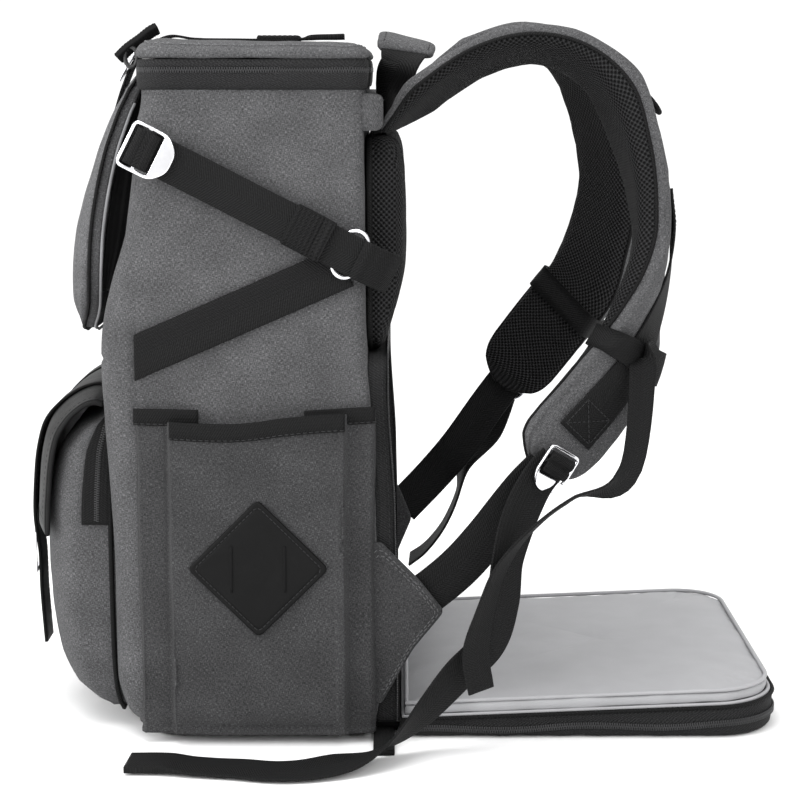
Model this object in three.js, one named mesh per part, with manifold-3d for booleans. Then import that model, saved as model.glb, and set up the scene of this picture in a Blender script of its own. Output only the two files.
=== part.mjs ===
// A camera backpack of canvas, standing on its base with its rear door folded down onto the floor.
// Millimetres, +Z up, -Y the front with the pockets, +Y the back with the shoulder straps.
// The origin is the middle of the base. The right side is +X.
import * as THREE from "three";
import { mergeVertices } from "three/addons/utils/BufferGeometryUtils.js";
import Module from "manifold-3d";

const wasm = await Module();
wasm.setup();

// Driving sizes of the main bag
const gap = 0.3; // clearance between pieces that touch
const bodyWidth = 290;
const bodyDepth = 180;
const bodyHeight = 430;
const upperWall = 4;
const paddedWall = 9;
const compartmentHeight = 244; // clear height of the camera compartment
const compartmentFloor = 14;
const shelfThickness = 12;
const liningThickness = 2.5;
const frontCornerRadius = 22;
const backCornerRadius = 9;
const zipBandHeight = 20;
const zipBandThickness = 2.5;
const lidThickness = 13;

// Rear door, zip frame and wings
const doorLength = 260;
const doorWidth = 274;
const doorCornerRadius = 44;
const doorShellHeight = 13; // at the hinge
const doorShellRise = 11; // how much thicker the shell is at its free end
const doorPadThickness = 11;
const doorPadInset = 4;
const hingeThickness = 3;
const hingeReach = 12;
const zipFrameDepth = 13;
const zipFrameWall = 3;
const wingThickness = 4;
const wingHeight = 111;
const wingFoot = 26;
const wingReach = 42;
const foldedWingReach = 22;

// Back pad, yoke and grab handle
const backPadDrop = 7.6; // of the back pad's top, below the yoke's foot
const backPadWidth = 258;
const backPadThickness = 25;
const yokeHeight = 22;
const yokeThickness = 11;
const handleSpan = 90;
const handleRise = 30; // above the yoke
const handleReach = 17; // behind the yoke's face
const handleWidth = 34;
const gripThickness = 2.6;

// Webbing
const webThickness = 1.8;
const sideWebWidth = 26;
const shoulderWebWidth = 29;
const chestWebWidth = 22;
const lidWebWidth = 24;

// Shoulder straps
const padThickness = 15;
const padWidth = 64;
const strapSpread = 121; // of the pads' lower ends, from the middle
const strapReach = 188; // of the pads' middle line, behind the body's back
const strapEndHeight = 185;
const rootDrop = 26; // of the pads' roots, below the body's top edge
const tailReach = 80; // of the loose right tail, beyond the body's side

// Side pockets and lash patches
const pocketHeight = 219;
const pocketFoot = 7;
const flankDepth = 4;
const panelDepth = 13;
const pocketWall = 2.5;
const bindingHeight = 10;
const bindingThickness = 1.2;
const patchDiagonal = 93;
const patchThickness = 2;
const slotLength = 31;
const slotWidth = 1.8;
const slotSpacing = 35;

// Front flap, front pocket and its leather flap
const flapHeight = 174;
const flapWidth = 236;
const flapBulge = 22;
const flapLiningThickness = 8;
const throatWidth = 212;
const throatHeight = 146;
const frontPocketWidth = 236;
const frontPocketHeight = 206;
const frontPocketFoot = 12;
const frontPocketDepth = 55;
const frontPocketWall = 3;
const leatherThickness = 3;
const leatherWidth = 226;
const frontStrapWidth = 25;
const frontStrapThickness = 2.2;
const frontStrapOffset = 48;

// Metal hardware
const metalThickness = 2.4;
const ringRadius = 16;
const ringWire = 1.6;

// Places worked out from the sizes above
const halfWidth = bodyWidth / 2;
const halfDepth = bodyDepth / 2;
const lidFloor = bodyHeight + zipBandHeight;
const lidTop = lidFloor + lidThickness;
const compartmentTop = compartmentFloor + compartmentHeight;
const shelfTop = compartmentTop + shelfThickness;
const rootHeight = bodyHeight - rootDrop;

const canvasColour = 0x55555a;
const materials = {
  canvas: new THREE.MeshStandardMaterial({ color: canvasColour, roughness: 0.95 }),
  black_fabric: new THREE.MeshStandardMaterial({ color: 0x1c1c1e, roughness: 0.9 }),
  webbing: new THREE.MeshStandardMaterial({ color: 0x222224, roughness: 0.8 }),
  mesh_fabric: new THREE.MeshStandardMaterial({ color: 0x18181a, roughness: 0.95 }),
  lining: new THREE.MeshStandardMaterial({ color: 0xa0a0a2, roughness: 0.7 }),
  leather: new THREE.MeshStandardMaterial({ color: 0x2a2a2c, roughness: 0.5 }),
  metal: new THREE.MeshStandardMaterial({ color: 0xd8d8da, roughness: 0.2, metalness: 1 }),
};

const part = new THREE.Group();

function addPiece(name, geometry, material) {
  const mesh = new THREE.Mesh(geometry, material);
  mesh.name = name;
  part.add(mesh);
  return mesh;
}

// Solids: a geometry becomes a solid for cutting, and a solid a geometry again
function solidOf(geometry) {
  const bare = geometry.index ? geometry.toNonIndexed() : geometry.clone();
  bare.deleteAttribute("normal");
  bare.deleteAttribute("uv");
  const merged = mergeVertices(bare, 1e-3);
  return new wasm.Manifold(
    new wasm.Mesh({
      numProp: 3,
      vertProperties: new Float32Array(merged.attributes.position.array),
      triVerts: new Uint32Array(merged.index.array),
    }),
  );
}

function geometryOf(solid) {
  const mesh = solid.getMesh();
  const position = new Float32Array(mesh.numVert * 3);
  for (let i = 0; i < mesh.numVert; i++) {
    position.set(mesh.vertProperties.subarray(i * mesh.numProp, i * mesh.numProp + 3), i * 3);
  }
  return new THREE.BufferGeometry()
    .setAttribute("position", new THREE.BufferAttribute(position, 3))
    .setIndex(new THREE.BufferAttribute(mesh.triVerts, 1));
}

function cut(geometry, ...tools) {
  return geometryOf(tools.reduce((left, tool) => left.subtract(solidOf(tool)), solidOf(geometry)));
}

function signedVolume(position, index) {
  const [a, b, c] = [new THREE.Vector3(), new THREE.Vector3(), new THREE.Vector3()];
  let sum = 0;
  for (let i = 0; i < index.length; i += 3) {
    a.fromArray(position, index[i] * 3);
    b.fromArray(position, index[i + 1] * 3);
    c.fromArray(position, index[i + 2] * 3);
    sum += a.dot(b.cross(c)) / 6;
  }
  return sum;
}

// A closed solid through rings of points, each with as many points as the first, with fan caps
function loft(rings) {
  const count = rings[0].length;
  const position = [];
  const index = [];
  const centre = (ring) =>
    ring.reduce((sum, p) => sum.add(p), new THREE.Vector3()).divideScalar(ring.length);
  rings.forEach((ring) => ring.forEach((p) => position.push(p.x, p.y, p.z)));
  for (let r = 0; r < rings.length - 1; r++) {
    for (let i = 0; i < count; i++) {
      const a = r * count + i;
      const b = r * count + ((i + 1) % count);
      index.push(a, b, b + count, a, b + count, a + count);
    }
  }
  const last = (rings.length - 1) * count;
  [
    [rings[0], 0, true],
    [rings[rings.length - 1], last, false],
  ].forEach(([ring, start, turned]) => {
    const middle = position.length / 3;
    const c = centre(ring);
    position.push(c.x, c.y, c.z);
    for (let i = 0; i < count; i++) {
      const a = start + i;
      const b = start + ((i + 1) % count);
      index.push(middle, turned ? b : a, turned ? a : b);
    }
  });
  if (signedVolume(position, index) < 0) {
    for (let i = 0; i < index.length; i += 3) {
      [index[i + 1], index[i + 2]] = [index[i + 2], index[i + 1]];
    }
  }
  return new THREE.BufferGeometry()
    .setAttribute("position", new THREE.Float32BufferAttribute(position, 3))
    .setIndex(index);
}

// The same form on the other side of the middle plane
function mirrored(geometry) {
  const copy = geometry.clone().scale(-1, 1, 1);
  const index = [...(copy.index ? copy.index.array : Array(copy.attributes.position.count).keys())];
  for (let i = 0; i < index.length; i += 3) {
    [index[i + 1], index[i + 2]] = [index[i + 2], index[i + 1]];
  }
  return copy.setIndex(index);
}

function addPair(name, geometry, material) {
  addPiece(name + "_right", geometry, material);
  addPiece(name + "_left", mirrored(geometry), material);
}

// A level ring with rounded corners, from its front, back and half width
function outline(front, back, side, frontRadius, backRadius, z) {
  const corners = [
    [side - backRadius, back - backRadius, backRadius, 0],
    [-side + backRadius, back - backRadius, backRadius, 1],
    [-side + frontRadius, front + frontRadius, frontRadius, 2],
    [side - frontRadius, front + frontRadius, frontRadius, 3],
  ];
  const cornerSteps = 4;
  return corners.flatMap(([x, y, radius, quarter]) =>
    Array.from({ length: cornerSteps + 1 }, (_, i) => {
      const angle = ((quarter + i / cornerSteps) * Math.PI) / 2;
      return new THREE.Vector3(x + radius * Math.cos(angle), y + radius * Math.sin(angle), z);
    }),
  );
}

function box(x0, x1, y0, y1, z0, z1) {
  return new THREE.BoxGeometry(x1 - x0, y1 - y0, z1 - z0).translate(
    (x0 + x1) / 2,
    (y0 + y1) / 2,
    (z0 + z1) / 2,
  );
}

// A flat outline given in the Y-Z plane, thickened along X from x0 to x1
function plateAcross(shape, x0, x1) {
  const turn = new THREE.Matrix4().makeBasis(
    new THREE.Vector3(0, 1, 0),
    new THREE.Vector3(0, 0, 1),
    new THREE.Vector3(1, 0, 0),
  );
  return new THREE.ExtrudeGeometry(shape, { depth: x1 - x0, bevelEnabled: false, curveSegments: 4 })
    .applyMatrix4(turn)
    .translate(x0, 0, 0);
}

function polygon(points) {
  return new THREE.Shape(points.map(([a, b]) => new THREE.Vector2(a, b)));
}

// Main body. Heights are shares of bodyHeight, front and back of half the depth, side of half the width
const bodySections = [
  { height: 0, front: 0.733, back: 0.933, side: 0.925 },
  { height: 0.014, front: 0.8, back: 1, side: 0.966 },
  { height: 0.042, front: 0.889, back: 1.033, side: 0.988 },
  { height: 0.093, front: 0.956, back: 1.044, side: 1 },
  { height: 0.33, front: 0.967, back: 1.022, side: 1 },
  { height: 0.53, front: 0.978, back: 0.978, side: 1 },
  { height: 0.63, front: 0.989, back: 0.944, side: 1 },
  { height: 0.7, front: 0.956, back: 0.939, side: 0.997 },
  { height: 0.79, front: 0.833, back: 0.933, side: 0.993 },
  { height: 0.967, front: 0.733, back: 0.922, side: 0.979 },
  { height: 1, front: 0.706, back: 0.93, side: 0.972 },
];

function bodyAt(column, z) {
  const share = Math.min(1, Math.max(0, z / bodyHeight));
  const above = Math.max(1, bodySections.findIndex((row) => row.height >= share));
  const [low, high] = [bodySections[above - 1], bodySections[above]];
  const t = (share - low.height) / (high.height - low.height);
  return low[column] + (high[column] - low[column]) * t;
}
const bodyFront = (z) => -bodyAt("front", z) * halfDepth;
const bodyBack = (z) => bodyAt("back", z) * halfDepth;
const bodySide = (z) => bodyAt("side", z) * halfWidth;

// The body's outer form, grown by extra on every side
function bodyForm(extra = 0, from = 0) {
  const levels = bodySections.map((row) => row.height * bodyHeight).filter((z) => z > from);
  return loft(
    [from, ...levels].map((z, i, all) =>
      outline(
        bodyFront(z) - extra,
        bodyBack(z) + extra,
        bodySide(z) + extra,
        frontCornerRadius + extra,
        backCornerRadius + extra,
        i === 0 ? z - extra : i === all.length - 1 ? z + Math.max(0, extra) : z,
      ),
    ),
  );
}

// The same outline at the body's top edge, for the zip band and the lid
function topOutline(inset, z) {
  return outline(
    bodyFront(bodyHeight) + inset,
    bodyBack(bodyHeight) - inset,
    bodySide(bodyHeight) - inset,
    frontCornerRadius - inset,
    Math.max(1, backCornerRadius - inset),
    z,
  );
}

const wellAbove = bodyHeight * 2;
const compartmentFront = bodyFront(bodyHeight * 0.33) + paddedWall;
const compartmentHalf = halfWidth - paddedWall;

function makeBody() {
  const upperHollow = loft([
    ...[shelfTop, ...bodySections.map((row) => row.height * bodyHeight).filter((z) => z > shelfTop)].map(
      (z) =>
        outline(
          bodyFront(z) + upperWall,
          bodyBack(z) - upperWall,
          bodySide(z) - upperWall,
          frontCornerRadius - upperWall,
          backCornerRadius - upperWall,
          z,
        ),
    ),
    topOutline(upperWall, wellAbove),
  ]);
  const compartment = box(
    -compartmentHalf,
    compartmentHalf,
    compartmentFront,
    bodyDepth,
    compartmentFloor,
    compartmentTop,
  );
  return cut(bodyForm(), upperHollow, compartment);
}

function makeLining() {
  const back = bodyBack(compartmentTop) - 2 * liningThickness;
  const outside = box(
    gap - compartmentHalf,
    compartmentHalf - gap,
    compartmentFront + gap,
    back,
    compartmentFloor + gap,
    compartmentTop - gap,
  );
  const inside = box(
    gap + liningThickness - compartmentHalf,
    compartmentHalf - gap - liningThickness,
    compartmentFront + gap + liningThickness,
    bodyDepth,
    compartmentFloor + gap + liningThickness,
    compartmentTop - gap - liningThickness,
  );
  return cut(outside, inside);
}

function makeZipBand() {
  const low = bodyHeight + gap;
  const high = lidFloor - gap;
  const middle = (low + high) / 2;
  const swell = 1.5;
  return cut(
    loft([topOutline(0, low), topOutline(-swell, middle), topOutline(-swell / 2, high)]),
    loft([topOutline(zipBandThickness, low - 1), topOutline(zipBandThickness, high + 1)]),
  );
}

// The lid is a padded slab. Rise is a share of its thickness, inset of the front corner radius
const lidSections = [
  { rise: 0, inset: 0 },
  { rise: 0.25, inset: -0.06 },
  { rise: 0.6, inset: 0.02 },
  { rise: 0.88, inset: 0.22 },
  { rise: 1, inset: 0.6 },
];

function makeLid() {
  return loft(
    lidSections.map((row) =>
      topOutline(row.inset * frontCornerRadius, lidFloor + row.rise * lidThickness),
    ),
  );
}

addPiece("body_shell", makeBody(), materials.canvas);
addPiece("compartment_lining", makeLining(), materials.lining);
addPiece("lid_zip_band", makeZipBand(), materials.black_fabric);
addPiece("lid", makeLid(), materials.canvas);

// Rear opening: a standing zip tape round it, the hinge strip and the door lying open on the floor
const doorHalf = doorWidth / 2;
const zipFrameHalf = compartmentHalf + zipFrameWall + gap;
const zipFrameBack = halfDepth + zipFrameDepth;

function makeZipFrame() {
  const top = compartmentTop + zipFrameWall + gap;
  const across = box(-zipFrameHalf, zipFrameHalf, 0, zipFrameBack, compartmentFloor, top);
  const opening = box(
    zipFrameWall - zipFrameHalf,
    zipFrameHalf - zipFrameWall,
    -1,
    zipFrameBack * 2,
    -1,
    top - zipFrameWall,
  );
  return cut(across, opening, bodyForm(gap));
}

const doorStart = bodyBack(bodyHeight * 0.042) + hingeReach;
const doorEnd = doorStart + doorLength;

// A plan outline of the door, square at the hinge and rounded at its free end
function doorPlan(inset, zAt) {
  const radius = doorCornerRadius - inset;
  const side = doorHalf - inset;
  const end = doorEnd - inset;
  const start = doorStart + inset;
  const arcSteps = 5;
  const corner = (signX, from) =>
    Array.from({ length: arcSteps + 1 }, (_, i) => {
      const angle = from + ((i / arcSteps) * Math.PI) / 2;
      return [signX * (side - radius) + radius * Math.cos(angle), end - radius + radius * Math.sin(angle)];
    });
  const middleY = (start + end) / 2;
  return [
    [side, start],
    [side, middleY],
    ...corner(1, 0),
    ...corner(-1, Math.PI / 2),
    [-side, middleY],
    [-side, start],
  ].map(([x, y]) => new THREE.Vector3(x, y, zAt(y)));
}

const shellTopAt = (y) => doorShellHeight + (doorShellRise * (y - doorStart)) / doorLength;

function makeDoorShell() {
  const edge = 3;
  return loft([
    doorPlan(edge * 2, () => 0),
    doorPlan(edge / 2, () => edge),
    doorPlan(0, (y) => shellTopAt(y) / 2),
    doorPlan(edge / 3, (y) => shellTopAt(y) - edge / 3),
    doorPlan(edge, shellTopAt),
  ]);
}

// Rise is a share of the pad's thickness, inset of the door's corner radius
const doorPadSections = [
  { rise: 0, inset: 0.02 },
  { rise: 0.35, inset: -0.04 },
  { rise: 0.7, inset: 0 },
  { rise: 0.92, inset: 0.12 },
  { rise: 1, inset: 0.4 },
];

function makeDoorPad() {
  return loft(
    doorPadSections.map((row) =>
      doorPlan(
        doorPadInset + row.inset * doorCornerRadius,
        (y) => shellTopAt(y) + gap + row.rise * doorPadThickness,
      ),
    ),
  );
}

function makeHinge() {
  const half = compartmentHalf - paddedWall;
  const low = compartmentFloor - paddedWall;
  const strip = box(-half, half, 0, doorStart - gap, low, low + hingeThickness);
  return cut(strip, bodyForm(gap), loft([doorPlan(-gap, () => -1), doorPlan(-gap, () => bodyHeight)]));
}

addPiece("back_zip_frame", makeZipFrame(), materials.black_fabric);
addPiece("door_shell", makeDoorShell(), materials.black_fabric);
addPiece("door_pad", makeDoorPad(), materials.lining);
addPiece("door_hinge", makeHinge(), materials.black_fabric);

// Wings: stitched triangles at the lower back corners that hold the shoulder webbing
const wingOutside = zipFrameHalf + gap + wingThickness;

function makeWing(reach) {
  const back = bodyBack(wingFoot + wingHeight / 2) - backCornerRadius;
  const tipHeight = wingFoot + wingHeight * 0.575;
  const shape = polygon([
    [back, wingFoot],
    [back, wingFoot + wingHeight],
    [bodyBack(wingFoot), wingFoot + wingHeight],
    [bodyBack(wingFoot) + reach * 0.6, wingFoot + wingHeight * 0.77],
    [bodyBack(wingFoot) + reach, tipHeight],
    [bodyBack(wingFoot) + reach * 0.5, wingFoot + wingHeight * 0.34],
    [bodyBack(wingFoot), wingFoot],
  ]);
  return cut(plateAcross(shape, wingOutside - wingThickness, wingOutside), bodyForm(gap));
}

addPiece("wing_right", makeWing(wingReach), materials.canvas);
addPiece("wing_left", mirrored(makeWing(foldedWingReach)), materials.canvas);

const yokeTop = bodyHeight + gap;
const yokeFoot = yokeTop - yokeHeight;
const yokeBack = bodyBack(yokeFoot) + gap + yokeThickness;

// Back pad: a domed mesh cushion on the upper back. Out is a share of its thickness, inset of its dome
const backPadFoot = compartmentTop - gap;
const backPadHeight = yokeFoot - backPadDrop - backPadFoot;
const backPadDome = 16;
const backPadSections = [
  { out: 0, inset: 0.1 },
  { out: 0.5, inset: 0 },
  { out: 0.8, inset: 0.25 },
  { out: 0.95, inset: 0.8 },
  { out: 1, inset: 1.6 },
];

function makeBackPad() {
  const radius = 30;
  const middle = backPadFoot + backPadHeight / 2;
  const base = bodyBack(middle) + gap;
  const rings = backPadSections.map((row) => {
    const inset = row.inset * backPadDome;
    return outline(
      -backPadHeight / 2 + inset,
      backPadHeight / 2 - inset,
      backPadWidth / 2 - inset,
      radius - inset / 2,
      radius - inset / 2,
      base + row.out * backPadThickness,
    ).map((p) => new THREE.Vector3(p.x, p.z, middle + p.y));
  });
  return cut(loft(rings), bodyForm(gap), grown(makeZipFrameBlock()));
}

// The block of space that the zip frame takes, for pieces that stop short of it
function makeZipFrameBlock() {
  return box(
    -zipFrameHalf,
    zipFrameHalf,
    0,
    zipFrameBack,
    0,
    compartmentTop + zipFrameWall + gap,
  );
}

// A box-like or convex form made larger by the gap, about its own middle
function grown(geometry, extra = gap) {
  const copy = geometry.clone();
  copy.computeBoundingBox();
  const size = copy.boundingBox.getSize(new THREE.Vector3());
  const middle = copy.boundingBox.getCenter(new THREE.Vector3());
  return copy
    .translate(-middle.x, -middle.y, -middle.z)
    .scale(1 + (2 * extra) / size.x, 1 + (2 * extra) / size.y, 1 + (2 * extra) / size.z)
    .translate(middle.x, middle.y, middle.z);
}

function makeYoke(extra = 0) {
  const half = bodySide(bodyHeight) - backCornerRadius / 2 + extra;
  const round = yokeThickness * 0.35;
  const front = halfDepth * 0.5;
  const shape = polygon([
    [front, yokeFoot - extra],
    [yokeBack - round, yokeFoot - extra],
    [yokeBack + extra, yokeFoot + round],
    [yokeBack + extra, yokeTop - 2 * round],
    [yokeBack - round, yokeTop - round / 2 + extra],
    [yokeBack - 2 * round, yokeTop + extra],
    [front, yokeTop + extra],
  ]);
  return plateAcross(shape, -half, half);
}

addPiece("back_pad", makeBackPad(), materials.mesh_fabric);
addPiece("yoke", cut(makeYoke(), bodyForm(gap), grown(makeZipBandBlock())), materials.canvas);

function makeZipBandBlock() {
  return loft([topOutline(-2, bodyHeight), topOutline(-2, lidFloor)]);
}

// Strips and pads along a route. Each station has a place, a direction across and a width
function alongRoute(stations, stepsEach) {
  const centres = new THREE.CatmullRomCurve3(
    stations.map((s) => s.place),
    false,
    "centripetal",
  );
  const acrosses = new THREE.CatmullRomCurve3(
    stations.map((s) => s.across),
    false,
    "centripetal",
  );
  const steps = (stations.length - 1) * stepsEach;
  return Array.from({ length: steps + 1 }, (_, i) => {
    const u = i / steps;
    const exact = u * (stations.length - 1);
    const low = Math.min(stations.length - 2, Math.floor(exact));
    const mix = (key) =>
      stations[low][key] + (stations[low + 1][key] - stations[low][key]) * (exact - low);
    const along = centres.getTangent(u);
    const wide = acrosses.getPoint(u).normalize();
    const out = new THREE.Vector3().crossVectors(wide, along).normalize();
    const across = new THREE.Vector3().crossVectors(along, out).normalize();
    return { place: centres.getPoint(u), along, out, across, width: mix("width"), thick: mix("thick") };
  });
}

// A section's ring from its outline, given as pairs of shares of half the width and half the thickness
function sectionRing(frame, section, lift = 0) {
  return section.map(([wide, high]) =>
    frame.place
      .clone()
      .addScaledVector(frame.across, (wide * frame.width) / 2)
      .addScaledVector(frame.out, (high * frame.thick) / 2 + lift),
  );
}

const flatSection = [
  [-1, -1],
  [1, -1],
  [1, 1],
  [-1, 1],
];
const padSection = [
  [-1, -0.35],
  [-0.9, -0.85],
  [0.9, -0.85],
  [1, -0.35],
  [1, 0.35],
  [0.9, 0.85],
  [0.3, 1],
  [-0.3, 1],
  [-0.9, 0.85],
  [-1, 0.35],
];

function strip(stations, { section = flatSection, stepsEach = 2, lift = 0 } = {}) {
  return loft(alongRoute(stations, stepsEach).map((frame) => sectionRing(frame, section, lift)));
}

function station(x, y, z, across, width, thick = webThickness) {
  return { place: new THREE.Vector3(x, y, z), across: new THREE.Vector3(...across), width, thick };
}

// Shoulder pads. Spread is a share of strapSpread, reach of strapReach behind the back, rise of the
// height from the pad's end to its root, roll the turn about its own line in degrees, fat a share of
// padThickness and wide of padWidth.
const rightPadRoute = [
  { spread: 0.65, reach: -0.002, rise: 0.985, roll: 0, wide: 0.78, fat: 0.4 },
  { spread: 0.65, reach: 0.07, rise: 1.045, roll: 8, wide: 0.9, fat: 0.7 },
  { spread: 0.65, reach: 0.162, rise: 1.115, roll: 17, wide: 1, fat: 1 },
  { spread: 0.65, reach: 0.361, rise: 1.228, roll: 17, wide: 1, fat: 1 },
  { spread: 0.68, reach: 0.545, rise: 1.27, roll: 15, wide: 1, fat: 1 },
  { spread: 0.71, reach: 0.723, rise: 1.235, roll: 16, wide: 1, fat: 1 },
  { spread: 0.75, reach: 0.865, rise: 1.14, roll: 15, wide: 1, fat: 1 },
  { spread: 0.78, reach: 0.942, rise: 0.977, roll: 10, wide: 1, fat: 1 },
  { spread: 0.805, reach: 0.984, rise: 0.826, roll: 4, wide: 1, fat: 1 },
  { spread: 0.83, reach: 1, rise: 0.708, roll: -2, wide: 1, fat: 1 },
  { spread: 0.845, reach: 0.986, rise: 0.58, roll: -12, wide: 1, fat: 1 },
  { spread: 0.865, reach: 0.94, rise: 0.434, roll: -30, wide: 0.98, fat: 0.95 },
  { spread: 0.9, reach: 0.872, rise: 0.3, roll: -52, wide: 0.95, fat: 0.9 },
  { spread: 0.95, reach: 0.778, rise: 0.187, roll: -68, wide: 0.92, fat: 0.85 },
  { spread: 0.985, reach: 0.686, rise: 0.096, roll: -74, wide: 0.9, fat: 0.85 },
  { spread: 1, reach: 0.61, rise: 0.028, roll: -76, wide: 0.84, fat: 0.8 },
  { spread: 1.005, reach: 0.565, rise: -0.012, roll: -76, wide: 0.5, fat: 0.6 },
];
const leftPadRoute = [
  { spread: 0.65, reach: -0.002, rise: 0.985, roll: 0, wide: 0.78, fat: 0.4 },
  { spread: 0.65, reach: 0.07, rise: 1.045, roll: -4, wide: 0.9, fat: 0.7 },
  { spread: 0.65, reach: 0.162, rise: 1.13, roll: -4, wide: 1, fat: 1 },
  { spread: 0.65, reach: 0.361, rise: 1.265, roll: -6, wide: 1, fat: 1 },
  { spread: 0.68, reach: 0.545, rise: 1.3, roll: -10, wide: 1, fat: 1 },
  { spread: 0.71, reach: 0.72, rise: 1.262, roll: -18, wide: 1, fat: 1 },
  { spread: 0.75, reach: 0.868, rise: 1.14, roll: -26, wide: 1, fat: 1 },
  { spread: 0.78, reach: 0.932, rise: 0.977, roll: -31, wide: 1, fat: 1 },
  { spread: 0.805, reach: 0.958, rise: 0.826, roll: -32, wide: 1, fat: 1 },
  { spread: 0.83, reach: 0.945, rise: 0.7, roll: -33, wide: 1, fat: 1 },
  { spread: 0.845, reach: 0.908, rise: 0.58, roll: -38, wide: 1, fat: 1 },
  { spread: 0.865, reach: 0.845, rise: 0.45, roll: -50, wide: 0.98, fat: 0.95 },
  { spread: 0.9, reach: 0.75, rise: 0.35, roll: -60, wide: 0.95, fat: 0.9 },
  { spread: 0.95, reach: 0.67, rise: 0.26, roll: -68, wide: 0.92, fat: 0.85 },
  { spread: 0.985, reach: 0.6, rise: 0.18, roll: -72, wide: 0.9, fat: 0.85 },
  { spread: 1, reach: 0.54, rise: 0.115, roll: -74, wide: 0.82, fat: 0.8 },
  { spread: 1.005, reach: 0.505, rise: 0.075, roll: -74, wide: 0.5, fat: 0.6 },
];
const backFace = bodyBack(rootHeight);

function padPlace(row) {
  return new THREE.Vector3(
    row.spread * strapSpread,
    backFace + row.reach * strapReach + padThickness / 2,
    strapEndHeight + row.rise * (rootHeight - strapEndHeight),
  );
}

// Stations along a pad's route. The direction across starts level and is rolled about the route
function padStations(route, width = null, thick = null) {
  const places = route.map(padPlace);
  return route.map((row, i) => {
    const along = places[Math.min(i + 1, places.length - 1)].clone().sub(places[Math.max(i - 1, 0)]);
    along.normalize();
    const level = new THREE.Vector3(1, 0, 0);
    const out = new THREE.Vector3().crossVectors(level, along).normalize();
    const roll = THREE.MathUtils.degToRad(row.roll);
    const across = level.multiplyScalar(Math.cos(roll)).addScaledVector(out, Math.sin(roll));
    return {
      place: places[i],
      across,
      width: width ?? row.wide * padWidth,
      thick: thick ?? row.fat * padThickness,
    };
  });
}

function makeShoulderPad(route) {
  return cut(
    strip(padStations(route), { section: padSection }),
    makeYoke(gap),
    grown(makeBackPad()),
    bodyForm(gap),
  );
}

addPiece("shoulder_pad_right", makeShoulderPad(rightPadRoute), materials.mesh_fabric);
addPiece("shoulder_pad_left", mirrored(makeShoulderPad(leftPadRoute)), materials.mesh_fabric);

// Webbing down the outer face of each pad, from a sewn top end to the buckle at the pad's foot
const faceWebStart = 8; // rows of the pad's route
const faceWebEnd = 15;
const faceWebLift = padThickness / 2 + webThickness / 2 + gap;
const faceWebBow = [0, 1, 1.5, 2.2, 2, 1, 0.3];

function makeFaceWeb(route) {
  const rows = route.slice(faceWebStart, faceWebEnd);
  const stations = padStations(route, shoulderWebWidth, webThickness).slice(faceWebStart, faceWebEnd);
  const frames = alongRoute(stations, 2);
  return loft(
    frames.map((frame, i) => {
      const exact = i / 2;
      const low = Math.floor(exact);
      const bow = faceWebBow[low] + ((faceWebBow[low + 1] ?? 0) - faceWebBow[low]) * (exact - low);
      const fat = rows[Math.round(exact)].fat;
      return sectionRing(frame, flatSection, faceWebLift + bow - ((1 - fat) * padThickness) / 2 + gap);
    }),
  );
}

addPiece("face_web_right", makeFaceWeb(rightPadRoute), materials.webbing);
addPiece("face_web_left", mirrored(makeFaceWeb(leftPadRoute)), materials.webbing);

// A loop of webbing round each pad that carries the chest strap
const loopWall = 2.2;
const loopClear = 1.19;
const loopRow = 11.5;
const loopSteps = 5; // frames to each row of the route

function loopFrames(route) {
  const middle = Math.round(loopRow * loopSteps);
  return alongRoute(padStations(route), loopSteps).slice(middle - 2, middle + 4);
}

function makeKeeperLoop(route) {
  const over = loopClear + 2 * webThickness + faceWebBow[Math.floor(loopRow) - faceWebStart];
  const ringAt = (frame, grow, growOut) => {
    const half = frame.width / 2 + grow;
    const low = -frame.thick / 2 - grow;
    const high = frame.thick / 2 + growOut;
    const corner = 2.5;
    return [
      [-half, low + corner],
      [-half + corner, low],
      [half - corner, low],
      [half, low + corner],
      [half, high - corner],
      [half - corner, high],
      [-half + corner, high],
      [-half, high - corner],
    ].map(([a, b]) =>
      frame.place.clone().addScaledVector(frame.across, a).addScaledVector(frame.out, b),
    );
  };
  const frames = loopFrames(route);
  const outer = frames.slice(1, -1).map((frame) => ringAt(frame, loopClear + loopWall, over + loopWall));
  const inner = frames.map((frame) => ringAt(frame, loopClear, over));
  return cut(loft(outer), loft(inner));
}

addPiece("chest_loop_right", makeKeeperLoop(rightPadRoute), materials.webbing);
addPiece("chest_loop_left", mirrored(makeKeeperLoop(leftPadRoute)), materials.webbing);

// A flat metal buckle: a frame with two slots and a long tongue end, its bar across the strap.
// It lies at a place, its length along one direction and its face towards another.
function makeBuckle(webWidth, place, along, facing) {
  const rim = 2.4;
  const half = webWidth / 2 + 0.6 + rim;
  const slot = webWidth * 0.33;
  const end = slot + rim * 1.5;
  const nose = webWidth * 0.42;
  const shape = polygon([
    [-end, -half],
    [end, -half],
    [end + nose * 0.8, -half * 0.45],
    [end + nose, 0],
    [end + nose * 0.8, half * 0.45],
    [end, half],
    [-end, half],
  ]);
  const plate = new THREE.ExtrudeGeometry(shape, { depth: metalThickness, bevelEnabled: false });
  const slots = [-1, 1].map((sign) =>
    new THREE.BoxGeometry(slot, 2 * (half - rim), 4 * metalThickness).translate(
      (sign * (slot + rim)) / 2,
      0,
      metalThickness / 2,
    ),
  );
  const out = facing.clone().normalize();
  const length = along.clone().addScaledVector(out, -along.dot(out)).normalize();
  const across = new THREE.Vector3().crossVectors(out, length);
  return cut(plate, ...slots)
    .applyMatrix4(new THREE.Matrix4().makeBasis(length, across, out))
    .translate(place.x, place.y, place.z);
}

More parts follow.
